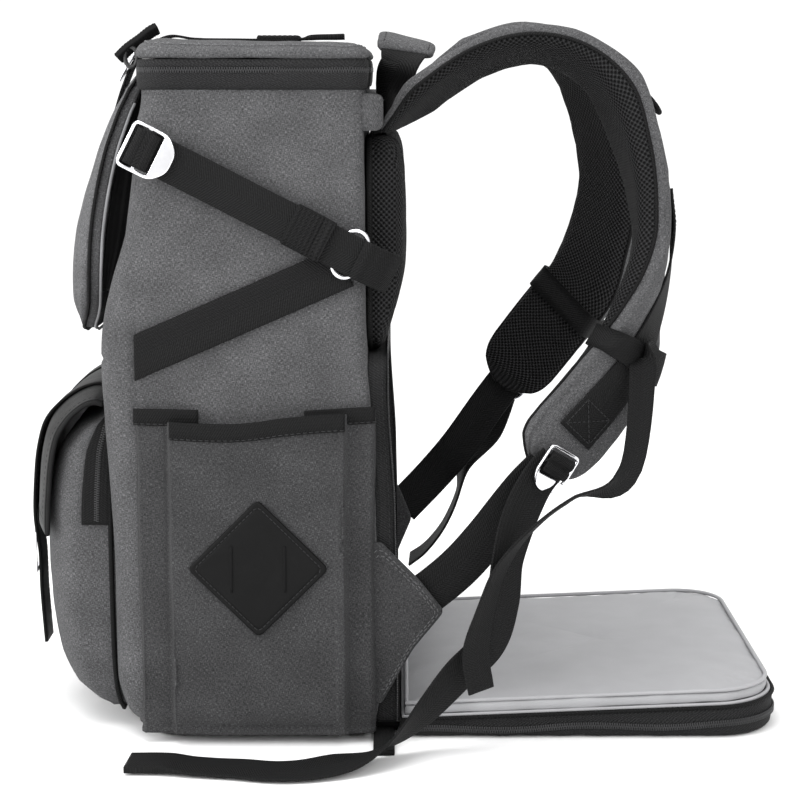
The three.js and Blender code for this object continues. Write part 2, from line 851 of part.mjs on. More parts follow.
// Side compression straps, in layers above the body's side
const sideWebLayer = halfWidth + gap + webThickness / 2;
const crossLayer = sideWebLayer + webThickness + 2 * gap + 1.2;
const ringLayer = crossLayer - webThickness / 2 + ringWire;
const overRingLayer = ringLayer + ringWire + gap + webThickness / 2;
const ringY = halfDepth * 0.82;
const ringZ = bodyHeight * 0.765;
const upperStrapStart = { y: -halfDepth * 0.7, z: bodyHeight * 0.928 };
const lowerStrapStart = { y: -halfDepth * 0.745, z: bodyHeight * 0.607 };
const upperStrapRun = new THREE.Vector3(0, ringY - upperStrapStart.y, ringZ - upperStrapStart.z);
upperStrapRun.normalize();
const upperAcross = [0, -upperStrapRun.z, upperStrapRun.y];
const alongUpper = (distance, x) => {
  const end = ringY + distance * upperStrapRun.y;
  return station(x, end, ringZ + distance * upperStrapRun.z, upperAcross, sideWebWidth);
};

function makeUpperStrap() {
  const route = [
    alongUpper(-9.9 * ringRadius, halfWidth - frontCornerRadius * 0.6),
    station(crossLayer, upperStrapStart.y + 8, upperStrapStart.z - 4, upperAcross, sideWebWidth),
    alongUpper(-4 * ringRadius, crossLayer),
    alongUpper(-1.6 * ringRadius, crossLayer),
    alongUpper(-1.15 * ringRadius, overRingLayer - webThickness * 0.2),
    alongUpper(-0.6 * ringRadius, overRingLayer),
    alongUpper(0.5 * ringRadius, overRingLayer),
  ];
  return cut(strip(route, { stepsEach: 1 }), bodyForm(gap));
}

function makeLowerStrap() {
  const end = { y: ringY - ringRadius * 0.2, z: ringZ - ringRadius * 0.5 };
  const run = new THREE.Vector3(0, end.y - lowerStrapStart.y, end.z - lowerStrapStart.z).normalize();
  const across = [0, -run.z, run.y];
  return strip(
    [
      station(sideWebLayer, lowerStrapStart.y, lowerStrapStart.z, across, sideWebWidth + 2),
      station(sideWebLayer, end.y, end.z, across, sideWebWidth + 2),
    ],
    { stepsEach: 1 },
  );
}

function makeRingTab() {
  const route = [
    alongUpper(0.5 * ringRadius + gap, overRingLayer),
    alongUpper(1.3 * ringRadius, overRingLayer),
    alongUpper(1.9 * ringRadius, sideWebLayer + webThickness),
    alongUpper(2.3 * ringRadius, halfWidth - 3 * webThickness),
  ];
  return cut(strip(route, { stepsEach: 1 }), grown(makeBackPad()));
}

function makeRing() {
  return new THREE.TorusGeometry(ringRadius, ringWire, 6, 16)
    .rotateY(Math.PI / 2)
    .translate(ringLayer, ringY, ringZ);
}

// A ribbed sleeve round the upper strap
function makeSideKeeper() {
  const length = 24;
  const wall = 1.2;
  const turn = new THREE.Matrix4().makeBasis(
    new THREE.Vector3(1, 0, 0),
    upperStrapRun,
    new THREE.Vector3(...upperAcross),
  );
  const slot = { thick: webThickness + 2 * gap, wide: sideWebWidth + 2 * gap };
  const place = alongUpper(-1.6 * ringRadius - length / 2, crossLayer).place;
  const outer = new THREE.BoxGeometry(slot.thick + 2 * wall, length, slot.wide + 2 * wall);
  const inner = new THREE.BoxGeometry(slot.thick, length * 2, slot.wide);
  return cut(
    outer.applyMatrix4(turn).translate(place.x, place.y, place.z),
    inner.applyMatrix4(turn).translate(place.x, place.y, place.z),
  );
}

addPair("side_strap_upper", makeUpperStrap(), materials.webbing);
addPair("side_strap_lower", makeLowerStrap(), materials.webbing);
addPair("side_ring", makeRing(), materials.metal);
addPair("side_ring_tab", makeRingTab(), materials.webbing);
addPair("side_keeper", makeSideKeeper(), materials.webbing);
addPair(
  "side_buckle",
  makeBuckle(
    sideWebWidth,
    new THREE.Vector3(
      crossLayer + webThickness / 2 + gap,
      upperStrapStart.y + 8,
      upperStrapStart.z - 4,
    ),
    upperStrapRun,
    new THREE.Vector3(1, 0, 0),
  ),
  materials.metal,
);

// Side pockets. Height is a share of pocketHeight, flank and panel of the depths, edges of halfDepth
const pocketFront = -halfDepth * 0.755;
const pocketBack = halfDepth * 1.0;
const panelFront = -halfDepth * 0.5;
const panelBack = halfDepth * 0.79;
const pocketInside = wingOutside + 2 * gap;
const pocketSections = [
  { height: 0, flank: 0.5, panel: 0.5 },
  { height: 0.02, flank: 0.8, panel: 0.8 },
  { height: 0.1, flank: 1, panel: 1 },
  { height: 1, flank: 1, panel: 1 },
];

function pocketRing(row, inset, z) {
  const flank = halfWidth + row.flank * flankDepth - inset;
  const panel = halfWidth + row.panel * panelDepth - inset;
  return [
    [pocketInside, pocketFront + inset],
    [flank, pocketFront + inset],
    [flank, panelFront + inset],
    [panel, panelFront + inset],
    [panel, panelBack - inset],
    [flank, panelBack - inset],
    [flank, pocketBack - inset],
    [pocketInside, pocketBack - inset],
  ].map(([x, y]) => new THREE.Vector3(x, y, z));
}

// The ring isn't convex, so the block is the sum of two convex ones: the flanks and the middle panel
function pocketBlock(inset, low, high) {
  const flanks = (row, z) => {
    const ring = pocketRing(row, inset, z);
    return [ring[0], ring[1], ring[6], ring[7]];
  };
  const panel = (row, z) => {
    const ring = pocketRing(row, inset, z);
    return [
      new THREE.Vector3(pocketInside, ring[3].y, z),
      ring[3],
      ring[4],
      new THREE.Vector3(pocketInside, ring[4].y, z),
    ];
  };
  const levels = pocketSections.map((row) => ({
    row,
    z: row.height < 1 ? low + row.height * pocketHeight : high,
  }));
  return geometryOf(
    solidOf(loft(levels.map(({ row, z }) => flanks(row, z)))).add(
      solidOf(loft(levels.map(({ row, z }) => panel(row, z)))),
    ),
  );
}

const pocketTop = pocketFoot + pocketHeight;
const panelDrop = 5; // the middle of the pocket's edge hangs lower than its ends

function panelNotch() {
  return box(
    halfWidth + flankDepth - pocketWall,
    bodyWidth,
    panelFront - bindingThickness * 2,
    panelBack + bindingThickness * 2,
    pocketTop - panelDrop,
    wellAbove,
  );
}

function makeSidePocket() {
  return cut(
    pocketBlock(0, pocketFoot, pocketTop),
    pocketBlock(pocketWall, pocketFoot + pocketWall, wellAbove),
    bodyForm(gap),
    panelNotch(),
  );
}

function makeBinding() {
  const outside = pocketBlock(-bindingThickness - gap, pocketFoot, pocketTop + bindingThickness);
  const edge = cut(outside, pocketBlock(-gap, 0, wellAbove), bodyForm(gap), panelNotch());
  const below = box(0, bodyWidth, -bodyDepth, bodyDepth, -1, pocketTop - bindingHeight);
  return cut(edge, below);
}

function makePatch() {
  const half = patchDiagonal / 2;
  const round = patchDiagonal * 0.05;
  const shape = polygon([
    [half - round, -round],
    [half - round * 0.6, 0],
    [half - round, round],
    [round, half - round],
    [0, half - round * 0.6],
    [-round, half - round],
    [round - half, round],
    [round * 0.6 - half, 0],
    [round - half, -round],
    [-round, round - half],
    [0, round * 0.6 - half],
    [round, round - half],
  ]);
  const face = halfWidth + panelDepth + gap;
  const middleY = (panelFront + panelBack) / 2;
  const middleZ = pocketFoot + pocketHeight * 0.53;
  const slots = [-1, 1].map((sign) =>
    new THREE.BoxGeometry(bodyWidth, slotWidth, slotLength).translate(0, (sign * slotSpacing) / 2, 0),
  );
  return cut(plateAcross(shape, 0, patchThickness), ...slots).translate(face, middleY, middleZ);
}

addPair("side_pocket", makeSidePocket(), materials.canvas);
addPair("pocket_binding", makeBinding(), materials.black_fabric);
addPair("lash_patch", makePatch(), materials.leather);

// Front flap, hanging from under the lid's front edge. Drop is a share of flapHeight from the top,
// stand of halfDepth forward of the middle, wide of half flapWidth, bulge of flapBulge
const flapTop = lidFloor - 7;
const flapRoute = [
  { drop: 0, stand: 0.73, wide: 0.86, bulge: 0.25 },
  { drop: 0.05, stand: 0.79, wide: 0.92, bulge: 0.4 },
  { drop: 0.14, stand: 0.87, wide: 0.96, bulge: 0.55 },
  { drop: 0.27, stand: 0.96, wide: 0.98, bulge: 0.66 },
  { drop: 0.42, stand: 1.03, wide: 1, bulge: 0.78 },
  { drop: 0.57, stand: 1.08, wide: 1, bulge: 0.9 },
  { drop: 0.7, stand: 1.105, wide: 0.98, bulge: 1 },
  { drop: 0.82, stand: 1.13, wide: 0.9, bulge: 1 },
  { drop: 0.88, stand: 1.145, wide: 0.8, bulge: 0.85 },
  { drop: 0.93, stand: 1.16, wide: 0.66, bulge: 0.5 },
  { drop: 0.97, stand: 1.17, wide: 0.48, bulge: 0.32 },
  { drop: 1, stand: 1.18, wide: 0.22, bulge: 0.2 },
];

// A level section of the flap: flat behind, domed in front
function flapRing(row, back, front, widthShare) {
  const z = flapTop - row.drop * flapHeight;
  const half = (row.wide * flapWidth * widthShare) / 2;
  const dome = [
    [-1, 0],
    [-0.97, 0.45],
    [-0.8, 0.78],
    [-0.45, 0.95],
    [0, 1],
    [0.45, 0.95],
    [0.8, 0.78],
    [0.97, 0.45],
    [1, 0],
  ];
  const y = -row.stand * halfDepth;
  return dome.map(([wide, out]) => new THREE.Vector3(wide * half, y - back - out * front, z));
}

function makeFrontFlap() {
  return loft(flapRoute.map((row) => flapRing(row, 0, row.bulge * flapBulge, 1)));
}

function makeFlapLining() {
  return loft(
    flapRoute
      .slice(0, -1)
      .map((row) =>
        flapRing(row, gap, -flapLiningThickness, 0.97).map(
          (p) => new THREE.Vector3(p.x, p.y + 2 * gap, p.z),
        ),
      ),
  );
}

// A block of dark fabric closes the space between the flap and the body
function makeThroat() {
  const foot = flapTop - throatHeight;
  const rows = flapRoute.filter((row) => flapTop - row.drop * flapHeight > foot);
  const levels = rows.map((row) => ({
    z: flapTop - row.drop * flapHeight,
    y: -row.stand * halfDepth + flapLiningThickness + 3 * gap,
  }));
  const half = throatWidth / 2;
  const rings = levels.map(({ z, y }) => {
    const inner = Math.max(bodyFront(Math.min(z, bodyHeight)) + 2 * upperWall, y + 1);
    return [
      new THREE.Vector3(-half, y, z),
      new THREE.Vector3(half, y, z),
      new THREE.Vector3(half, inner, z),
      new THREE.Vector3(-half, inner, z),
    ];
  });
  return cut(loft(rings), bodyForm(gap), grown(makeZipBandBlock()), lidBlock());
}

function lidBlock() {
  return loft([topOutline(-3, bodyHeight + gap), topOutline(-3, lidTop)]);
}

addPiece("front_flap", cut(makeFrontFlap(), bodyForm(gap), lidBlock()), materials.canvas);
addPiece("flap_lining", cut(makeFlapLining(), bodyForm(gap), lidBlock()), materials.black_fabric);
addPiece("front_throat", makeThroat(), materials.black_fabric);

// Front pocket: an open-backed pouch against the body. Height is a share of frontPocketHeight,
// out of frontPocketDepth, wide of half frontPocketWidth
const frontPocketSections = [
  { height: 0, out: 0.2, wide: 0.9 },
  { height: 0.03, out: 0.42, wide: 0.95 },
  { height: 0.08, out: 0.68, wide: 0.98 },
  { height: 0.17, out: 0.86, wide: 1 },
  { height: 0.3, out: 0.95, wide: 1 },
  { height: 0.5, out: 1, wide: 1 },
  { height: 0.72, out: 0.96, wide: 1 },
  { height: 0.88, out: 0.8, wide: 0.98 },
  { height: 0.96, out: 0.5, wide: 0.95 },
  { height: 1, out: 0.2, wide: 0.9 },
];

// A level section of the pocket: square behind, rounded corners and a domed face in front
function frontPocketRing(row, inset, zInset) {
  const half = (row.wide * frontPocketWidth) / 2 - inset;
  const out = row.out * frontPocketDepth - inset;
  const back = bodyFront(bodyHeight * 0.33);
  const inside = back + 2 * frontPocketWall;
  const z = frontPocketFoot + row.height * frontPocketHeight;
  const middle = frontPocketFoot + frontPocketHeight / 2;
  const level = z + Math.sign(middle - z) * (row.height === 0 || row.height === 1 ? zInset : 0);
  return [
    [half, inside],
    [half, back - out * 0.45],
    [half * 0.96, back - out * 0.68],
    [half * 0.84, back - out * 0.84],
    [half * 0.5, back - out * 0.96],
    [0, back - out],
    [-half * 0.5, back - out * 0.96],
    [-half * 0.84, back - out * 0.84],
    [-half * 0.96, back - out * 0.68],
    [-half, back - out * 0.45],
    [-half, inside],
  ].map(([x, y]) => new THREE.Vector3(x, y, level));
}

function makeFrontPocket() {
  const outside = loft(frontPocketSections.map((row) => frontPocketRing(row, 0, 0)));
  const inside = loft(
    frontPocketSections.map((row) => frontPocketRing(row, frontPocketWall, frontPocketWall)),
  );
  return cut(outside, inside, bodyForm(gap));
}

// Leather flap over the pocket: drop is a share of frontPocketHeight below its top, out of
// frontPocketDepth in front of the body
const leatherRoute = [
  { drop: -0.045, out: 0.06 },
  { drop: -0.05, out: 0.22 },
  { drop: -0.035, out: 0.42 },
  { drop: 0.01, out: 0.68 },
  { drop: 0.07, out: 0.86 },
  { drop: 0.16, out: 0.96 },
  { drop: 0.27, out: 1.01 },
  { drop: 0.38, out: 1.03 },
];
const leatherBase = bodyFront(frontPocketFoot + frontPocketHeight);
const frontPocketTop = frontPocketFoot + frontPocketHeight;

// Across the flap the face falls back towards its sides, as the pocket's does
function leatherPoint(row, share, lift) {
  const fall = 0.3 * Math.pow(Math.abs(share), 2.6) * Math.min(1, row.out);
  const out = (row.out - fall) * frontPocketDepth;
  return new THREE.Vector3(
    (share * leatherWidth) / 2,
    leatherBase - out,
    frontPocketTop - row.drop * frontPocketHeight - Math.abs(share) ** 2 * 4,
  ).add(lift);
}

function makeLeatherFlap() {
  const shares = [-1, -0.85, -0.6, -0.3, 0, 0.3, 0.6, 0.85, 1];
  const liftAt = (i, thickness) => {
    const before = leatherRoute[Math.max(0, i - 1)];
    const after = leatherRoute[Math.min(leatherRoute.length - 1, i + 1)];
    const run = new THREE.Vector3(
      0,
      -(after.out - before.out) * frontPocketDepth,
      -(after.drop - before.drop) * frontPocketHeight,
    ).normalize();
    return new THREE.Vector3(0, run.z, -run.y).multiplyScalar(thickness);
  };
  const rings = leatherRoute.map((row, i) => [
    ...shares.map((s) => leatherPoint(row, s, new THREE.Vector3())),
    ...[...shares].reverse().map((s) => leatherPoint(row, s, liftAt(i, leatherThickness))),
  ]);
  return cut(loft(rings), bodyForm(gap), frontPocketGrown());
}

function frontPocketGrown() {
  return loft(
    frontPocketSections.map((row) => frontPocketRing(row, -gap * 2, -gap * 2)),
  );
}

addPiece("front_pocket", makeFrontPocket(), materials.canvas);
addPiece("pocket_flap", makeLeatherFlap(), materials.leather);

// Two leather straps over the flap and down the pocket's face, each with a small metal frame
const strapDropRows = [
  { drop: -0.047, out: 0.13 },
  { drop: -0.051, out: 0.24 },
  { drop: -0.037, out: 0.44 },
  { drop: 0.008, out: 0.7 },
  { drop: 0.068, out: 0.88 },
  { drop: 0.16, out: 0.99 },
  { drop: 0.27, out: 1.04 },
  { drop: 0.38, out: 1.06 },
  { drop: 0.43, out: 1.05 },
  { drop: 0.52, out: 1.01 },
  { drop: 0.66, out: 1.0 },
  { drop: 0.84, out: 0.96 },
];
const strapLift = leatherThickness + gap + frontStrapThickness / 2;

function frontStrapPoint(row, extra = 0) {
  return [
    leatherBase - row.out * frontPocketDepth - extra,
    frontPocketTop - row.drop * frontPocketHeight,
  ];
}

function makeFrontStrap() {
  const over = strapDropRows.map((row, i) => {
    const [y, z] = frontStrapPoint(row, i > 3 ? strapLift * 0.6 : 0);
    const rise = i <= 3 ? strapLift : strapLift * Math.max(0, 1 - (i - 3) / 3);
    return station(frontStrapOffset, y, z + rise, [1, 0, 0], frontStrapWidth, frontStrapThickness);
  });
  return cut(
    strip(over, { stepsEach: 1 }),
    bodyForm(gap),
    frontPocketGrown(),
  );
}

function makeFrontBuckle() {
  const row = strapDropRows[9];
  const [y, z] = frontStrapPoint(row, strapLift * 0.6 + frontStrapThickness);
  const frame = new THREE.BoxGeometry(frontStrapWidth + 6, metalThickness, frontStrapWidth + 4);
  const window = new THREE.BoxGeometry(frontStrapWidth, 4 * metalThickness, frontStrapWidth - 3);
  return cut(frame, window).translate(frontStrapOffset, y - gap - metalThickness, z);
}

addPair("front_strap", makeFrontStrap(), materials.leather);
addPair("front_buckle", makeFrontBuckle(), materials.metal);

// The lid's middle strap: from the flap over the lid, through a keeper, to a folded end.
// Reach is a share of halfDepth forward of the middle, height is above the lid's floor
const lidWebRest = lidTop + gap + webThickness / 2;
const lidWebRoute = [
  { reach: 1.06, z: flapTop - flapHeight * 0.16, wide: 1, layers: 1 },
  { reach: 0.985, z: flapTop - flapHeight * 0.045, wide: 1, layers: 1 },
  { reach: 0.9, z: lidFloor + lidThickness * 0.1, wide: 1, layers: 1 },
  { reach: 0.78, z: lidFloor + lidThickness * 0.95, wide: 1, layers: 1 },
  { reach: 0.62, z: lidWebRest + webThickness, wide: 1, layers: 1 },
  { reach: 0.42, z: lidWebRest, wide: 1, layers: 1 },
  { reach: -0.42, z: lidWebRest, wide: 1, layers: 1 },
  { reach: -0.48, z: lidWebRest + webThickness / 2, wide: 1, layers: 2 },
  { reach: -0.74, z: lidWebRest + webThickness, wide: 1.3, layers: 2.2 },
];

function lidStation(row) {
  return station(
    0,
    -row.reach * halfDepth,
    row.z,
    [1, 0, 0],
    row.wide * lidWebWidth,
    row.layers * webThickness,
  );
}

function makeLidKeeper() {
  const wall = 1.4;
  const length = 30;
  const middle = halfDepth * 0.23;
  const slot = { wide: lidWebWidth + 2 * gap, tall: webThickness + 2 * gap };
  const outer = new THREE.BoxGeometry(slot.wide + 2 * wall, length, slot.tall + wall);
  const inner = new THREE.BoxGeometry(slot.wide, 2 * length, slot.tall);
  const keeper = cut(
    outer.translate(0, middle, lidTop + gap + (slot.tall + wall) / 2),
    inner.translate(0, middle, lidTop + slot.tall / 2),
  );
  return keeper;
}

addPiece("lid_strap", strip(lidWebRoute.map(lidStation), { stepsEach: 1 }), materials.webbing);
addPiece("lid_keeper", makeLidKeeper(), materials.webbing);

function makeLidBuckle() {
  const [low, high] = [lidStation(lidWebRoute[1]).place, lidStation(lidWebRoute[3]).place];
  const along = low.clone().sub(high).normalize();
  const facing = new THREE.Vector3(0, along.z, -along.y);
  const place = low.clone().lerp(high, 0.6).addScaledVector(facing, webThickness + 2);
  return makeBuckle(lidWebWidth, place, along, facing);
}

addPiece("lid_buckle", makeLidBuckle(), materials.metal);

// Grab handle: webbing that turns from the yoke's back face into an arch above it, in a soft grip
const handleFace = yokeBack + gap + webThickness / 2;
const handleHalf = handleSpan / 2;
const handleSide = (sign) => [
  station(sign * handleHalf * 0.68, handleFace, yokeFoot + 4, [sign, 0, 0], handleWidth * 0.7),
  station(sign * handleHalf * 0.74, handleFace + 0.5, yokeTop + 1, [sign, 0.1, 0], handleWidth * 0.7),
  station(
    sign * handleHalf,
    handleFace + handleReach * 0.6,
    yokeTop + handleRise * 0.55,
    [sign * 0.5, 1, 0],
    handleWidth * 0.85,
  ),
  station(
    sign * handleHalf * 0.7,
    handleFace + handleReach * 0.85,
    yokeTop + handleRise * 0.88,
    [0, 1, 0.1],
    handleWidth,
  ),
];
const handleStations = [
  ...handleSide(1),
  station(0, handleFace + handleReach * 0.9, yokeTop + handleRise, [0, 1, 0.1], handleWidth),
  ...handleSide(-1).reverse(),
];
const handleFrames = alongRoute(handleStations, 3);

// The grip is a sleeve with a slot for the webbing
function makeGrip() {
  const from = 8;
  const to = handleFrames.length - 1 - from;
  const sleeve = (first, last, wall) =>
    loft(
      handleFrames.slice(first, last + 1).map((frame) =>
        sectionRing(
          {
            ...frame,
            width: frame.width + 2 * (gap + wall),
            thick: frame.thick + 2 * (gap + wall),
          },
          flatSection,
        ),
      ),
    );
  return cut(sleeve(from, to, gripThickness), sleeve(from - 1, to + 1, 0));
}

addPiece(
  "handle_strap",
  cut(loft(handleFrames.map((frame) => sectionRing(frame, flatSection))), makeYoke(gap)),
  materials.webbing,
);
addPiece("handle_grip", makeGrip(), materials.canvas);

// Shoulder strap hardware and webbing. Places are ends of the pads plus shares of strapReach
function padEnd(route) {
  return padPlace(route[route.length - 1]);
}

function offset(from, x, y, z) {
  return from.clone().add(new THREE.Vector3(x, y * strapReach, z * strapReach));
}

// The lower webbing runs from under the buckle down to the wing: the right one ends behind the wing
// and the left one on it
const lowerWebLift = padThickness * 0.4 + 2 * gap + webThickness / 2;
const behindWing = wingOutside - wingThickness - gap - webThickness / 2;
const onWing = wingOutside + 2 * gap + webThickness / 2;

function webStation(place, across, width, thick = webThickness) {
  return { place, across: new THREE.Vector3(...across), width, thick };
}

function lowerWebStations(route, reach, layer) {
  const end = alongRoute(padStations(route), 2).at(-2);
  const from = end.place.clone().addScaledVector(end.out, lowerWebLift);
  const tip = new THREE.Vector3(layer, bodyBack(wingFoot) + reach * 0.6, wingFoot + wingHeight * 0.64);
  const sag = new THREE.Vector3(0, 0, -0.03 * strapReach);
  const across = [0, -0.7, 0.72];
  return [
    webStation(from, end.across.toArray(), shoulderWebWidth),
    webStation(
      from.clone().addScaledVector(end.along, shoulderWebWidth * 0.7),
      end.across.toArray(),
      shoulderWebWidth,
    ),
    webStation(from.clone().lerp(tip, 0.45).add(sag), across, shoulderWebWidth),
    webStation(from.clone().lerp(tip, 0.7).add(sag).setX(layer), across, shoulderWebWidth),
    webStation(tip, across, shoulderWebWidth),
  ];
}

const rightWeb = lowerWebStations(rightPadRoute, wingReach, behindWing);
const leftWeb = lowerWebStations(leftPadRoute, foldedWingReach, onWing);

// The buckle lies flat on the start of the lower webbing
function buckleSeat(stations, lift) {
  const frame = alongRoute(stations, 2)[0];
  const facing = frame.out.x > 0 ? frame.out : frame.out.clone().negate();
  const place = frame.place.clone().addScaledVector(facing, lift);
  return { frame, facing, place: place.addScaledVector(frame.along, shoulderWebWidth * -0.3) };
}

function makeShoulderBuckle(stations) {
  const seat = buckleSeat(stations, webThickness / 2 + 2 * gap);
  return makeBuckle(shoulderWebWidth * 0.85, seat.place, seat.frame.along, seat.facing);
}

// The right tail hangs from the buckle, folds over and lies on the floor in front of the side.
// Side is a share of tailReach beyond the body's side, back of halfDepth, height of strapEndHeight
const tailRoute = [
  { side: 0.04, back: 2.06, height: 0.85, across: [0.25, -0.95, 0.2], wide: 0.85 },
  { side: 0.2, back: 1.96, height: 0.7, across: [0.5, -0.85, 0.1], wide: 0.85 },
  { side: 0.24, back: 1.92, height: 0.54, across: [0.4, -0.9, 0.3], wide: 0.85 },
  { side: 0.26, back: 1.82, height: 0.4, across: [0.35, -0.7, 0.7], wide: 0.9 },
  { side: 0.28, back: 1.6, height: 0.29, across: [0.45, -0.5, 0.75], wide: 0.95 },
  { side: 0.34, back: 1.36, height: 0.16, across: [0.65, -0.3, 0.65], wide: 1 },
  { side: 0.56, back: 1.04, height: 0.06, across: [0.95, 0, 0.3], wide: 1 },
  { side: 0.76, back: 0.7, height: 0.03, across: [1, 0.1, -0.12], wide: 1 },
  { side: 0.84, back: 0.35, height: 0.02, across: [1, 0, -0.08], wide: 1 },
  { side: 0.76, back: 0.0, height: 0.018, across: [1, -0.1, -0.06], wide: 1 },
  { side: 0.7, back: -0.32, height: 0.018, across: [1, -0.1, -0.04], wide: 1 },
  { side: 0.66, back: -0.48, height: 0.022, across: [1, 0, 0], wide: 1, layers: 2.4 },
  { side: 0.64, back: -0.78, height: 0.02, across: [1, 0, 0], wide: 1, layers: 2.4 },
];

// A tail starts flat on its buckle
function tailStart(stations) {
  const lift = webThickness / 2 + 5 * gap + metalThickness + webThickness / 2;
  const { frame, place } = buckleSeat(stations, lift);
  return [0, 0.5].map((share) => ({
    place: place.clone().addScaledVector(frame.along, share * shoulderWebWidth),
    across: frame.across.clone(),
    width: shoulderWebWidth * 0.9,
    thick: webThickness,
  }));
}

function makeTail() {
  const hanging = tailRoute.map((row) =>
    webStation(
      new THREE.Vector3(
        halfWidth + row.side * tailReach,
        row.back * halfDepth,
        row.height * strapEndHeight,
      ),
      row.across,
      row.wide * shoulderWebWidth,
      (row.layers ?? 1) * webThickness,
    ),
  );
  return strip([...tailStart(rightWeb), ...hanging]);
}

// The left tail falls short and close to the bag. Shares of strapReach from the pad's end
const leftTailRoute = [
  { x: 0.12, y: -0.06, z: -0.18, across: [0.3, -0.7, 0.4] },
  { x: 0.16, y: -0.12, z: -0.3, across: [0.7, -0.6, 0.4] },
  { x: 0.19, y: -0.17, z: -0.5, across: [0.8, -0.5, 0.3] },
  { x: 0.22, y: -0.27, z: -0.61, across: [0.7, -0.5, 0.5] },
  { x: 0.25, y: -0.38, z: -0.72, across: [0.6, -0.5, 0.6] },
];

function makeLeftTail() {
  const end = padEnd(leftPadRoute);
  const hanging = leftTailRoute.map((row) =>
    webStation(offset(end, row.x * strapReach, row.y, row.z), row.across, shoulderWebWidth),
  );
  return strip([...tailStart(leftWeb), ...hanging]);
}

addPiece("shoulder_buckle_right", makeShoulderBuckle(rightWeb), materials.metal);
addPiece("shoulder_buckle_left", mirrored(makeShoulderBuckle(leftWeb)), materials.metal);
addPiece("lower_web_right", strip(rightWeb), materials.webbing);
addPiece("lower_web_left", mirrored(strip(leftWeb)), materials.webbing);
addPiece("tail_right", makeTail(), materials.webbing);
addPiece("tail_left", mirrored(makeLeftTail()), materials.webbing);

// The chest strap's right half hangs from its loop. Side as for the tail, back and height of strapReach
const chestRoute = [
  { side: 0.03, back: 0.93, height: 0.2, across: [0.3, -0.9, 0.2], wide: 1 },
  { side: 0.1, back: 0.87, height: 0.04, across: [0.6, -0.7, 0.2], wide: 1 },
  { side: 0.2, back: 0.72, height: -0.08, across: [0.9, -0.3, 0.1], wide: 1 },
  { side: 0.3, back: 0.57, height: -0.19, across: [0.95, -0.2, 0.2], wide: 1 },
  { side: 0.38, back: 0.47, height: -0.32, across: [0.9, -0.4, 0.3], wide: 1 },
  { side: 0.42, back: 0.42, height: -0.46, across: [0.8, -0.6, 0.1], wide: 1 },
  { side: 0.42, back: 0.39, height: -0.6, across: [0.6, -0.8, 0.1], wide: 1 },
  { side: 0.4, back: 0.41, height: -0.74, across: [0.5, -0.8, 0], wide: 0.9 },
];

// It starts flat on the loop's outer side
function chestStart() {
  const frame = loopFrames(rightPadRoute)[2];
  const side = frame.width / 2 + loopClear + loopWall + 3 * gap + webThickness / 2;
  const place = frame.place.clone().addScaledVector(frame.across, side);
  return [-0.1, 0.5, 1.15].map((share) => ({
    place: place.clone().addScaledVector(frame.out, share * padThickness),
    across: frame.along.clone(),
    width: chestWebWidth * 0.6,
    thick: webThickness,
  }));
}

function makeChestStrap() {
  const hanging = chestRoute.map((row) =>
    webStation(
      new THREE.Vector3(
        halfWidth + row.side * tailReach,
        halfDepth + row.back * strapReach - halfDepth * 0.09,
        strapEndHeight + row.height * strapReach,
      ),
      row.across,
      row.wide * chestWebWidth,
    ),
  );
  return strip([...chestStart(), ...hanging]);
}

addPiece("chest_strap", makeChestStrap(), materials.webbing);

// A short folded strap end that comes out from under the bag's lower back corner
function makeBaseEnd() {
  const across = [0, 1, 0];
  const width = sideWebWidth * 0.55;
  const y = halfDepth * 1.06;
  const route = [
    station(halfWidth * 0.8, y, 1.5 * webThickness, across, width, 2 * webThickness),
    station(halfWidth + tailReach * 0.35, y, 1.2 * webThickness, across, width, 2 * webThickness),
  ];
  return cut(strip(route, { stepsEach: 1 }), bodyForm(gap));
}

addPiece("base_strap_end", makeBaseEnd(), materials.webbing);

export default part;
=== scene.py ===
"""A grey canvas camera backpack, standing with its padded rear door folded down onto the floor.

Metres, +Z up. The bag's front is -Y, its straps and open door are at +Y and its right side is +X.
"""

import math

import bpy
from mathutils import Matrix, Vector, noise


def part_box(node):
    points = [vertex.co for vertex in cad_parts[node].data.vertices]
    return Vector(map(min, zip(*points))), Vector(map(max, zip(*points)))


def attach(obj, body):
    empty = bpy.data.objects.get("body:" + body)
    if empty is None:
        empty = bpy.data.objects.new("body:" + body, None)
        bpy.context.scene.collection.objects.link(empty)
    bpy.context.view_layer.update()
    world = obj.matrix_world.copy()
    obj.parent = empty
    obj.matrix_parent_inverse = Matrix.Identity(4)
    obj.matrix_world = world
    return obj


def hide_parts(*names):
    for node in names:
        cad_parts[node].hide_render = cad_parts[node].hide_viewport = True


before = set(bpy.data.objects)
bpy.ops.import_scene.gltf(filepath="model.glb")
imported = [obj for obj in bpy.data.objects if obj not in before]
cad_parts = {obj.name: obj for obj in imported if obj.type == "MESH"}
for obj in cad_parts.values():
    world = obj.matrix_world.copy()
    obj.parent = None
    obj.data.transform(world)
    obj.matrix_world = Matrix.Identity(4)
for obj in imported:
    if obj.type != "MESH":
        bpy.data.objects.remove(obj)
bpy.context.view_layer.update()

# Driving sizes, the same as the solids'
BODY_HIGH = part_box("body_shell")[1]
HALF_WIDTH = BODY_HIGH[0]
HALF_DEPTH = 0.090
BODY_HEIGHT = BODY_HIGH[2]
GAP = 0.0003
WEB_THICKNESS = 0.0018
COMPARTMENT_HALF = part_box("compartment_lining")[1][0] + GAP
COMPARTMENT_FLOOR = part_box("compartment_lining")[0][2] - GAP
COMPARTMENT_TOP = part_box("compartment_lining")[1][2] + GAP
LID_LOW, LID_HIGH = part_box("lid")
POCKET_LOW, POCKET_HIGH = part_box("side_pocket_right")
FRONT_CORNER = 0.022
BACK_CORNER = 0.009
STITCH_LENGTH = 0.0028
STITCH_PITCH = 0.0040
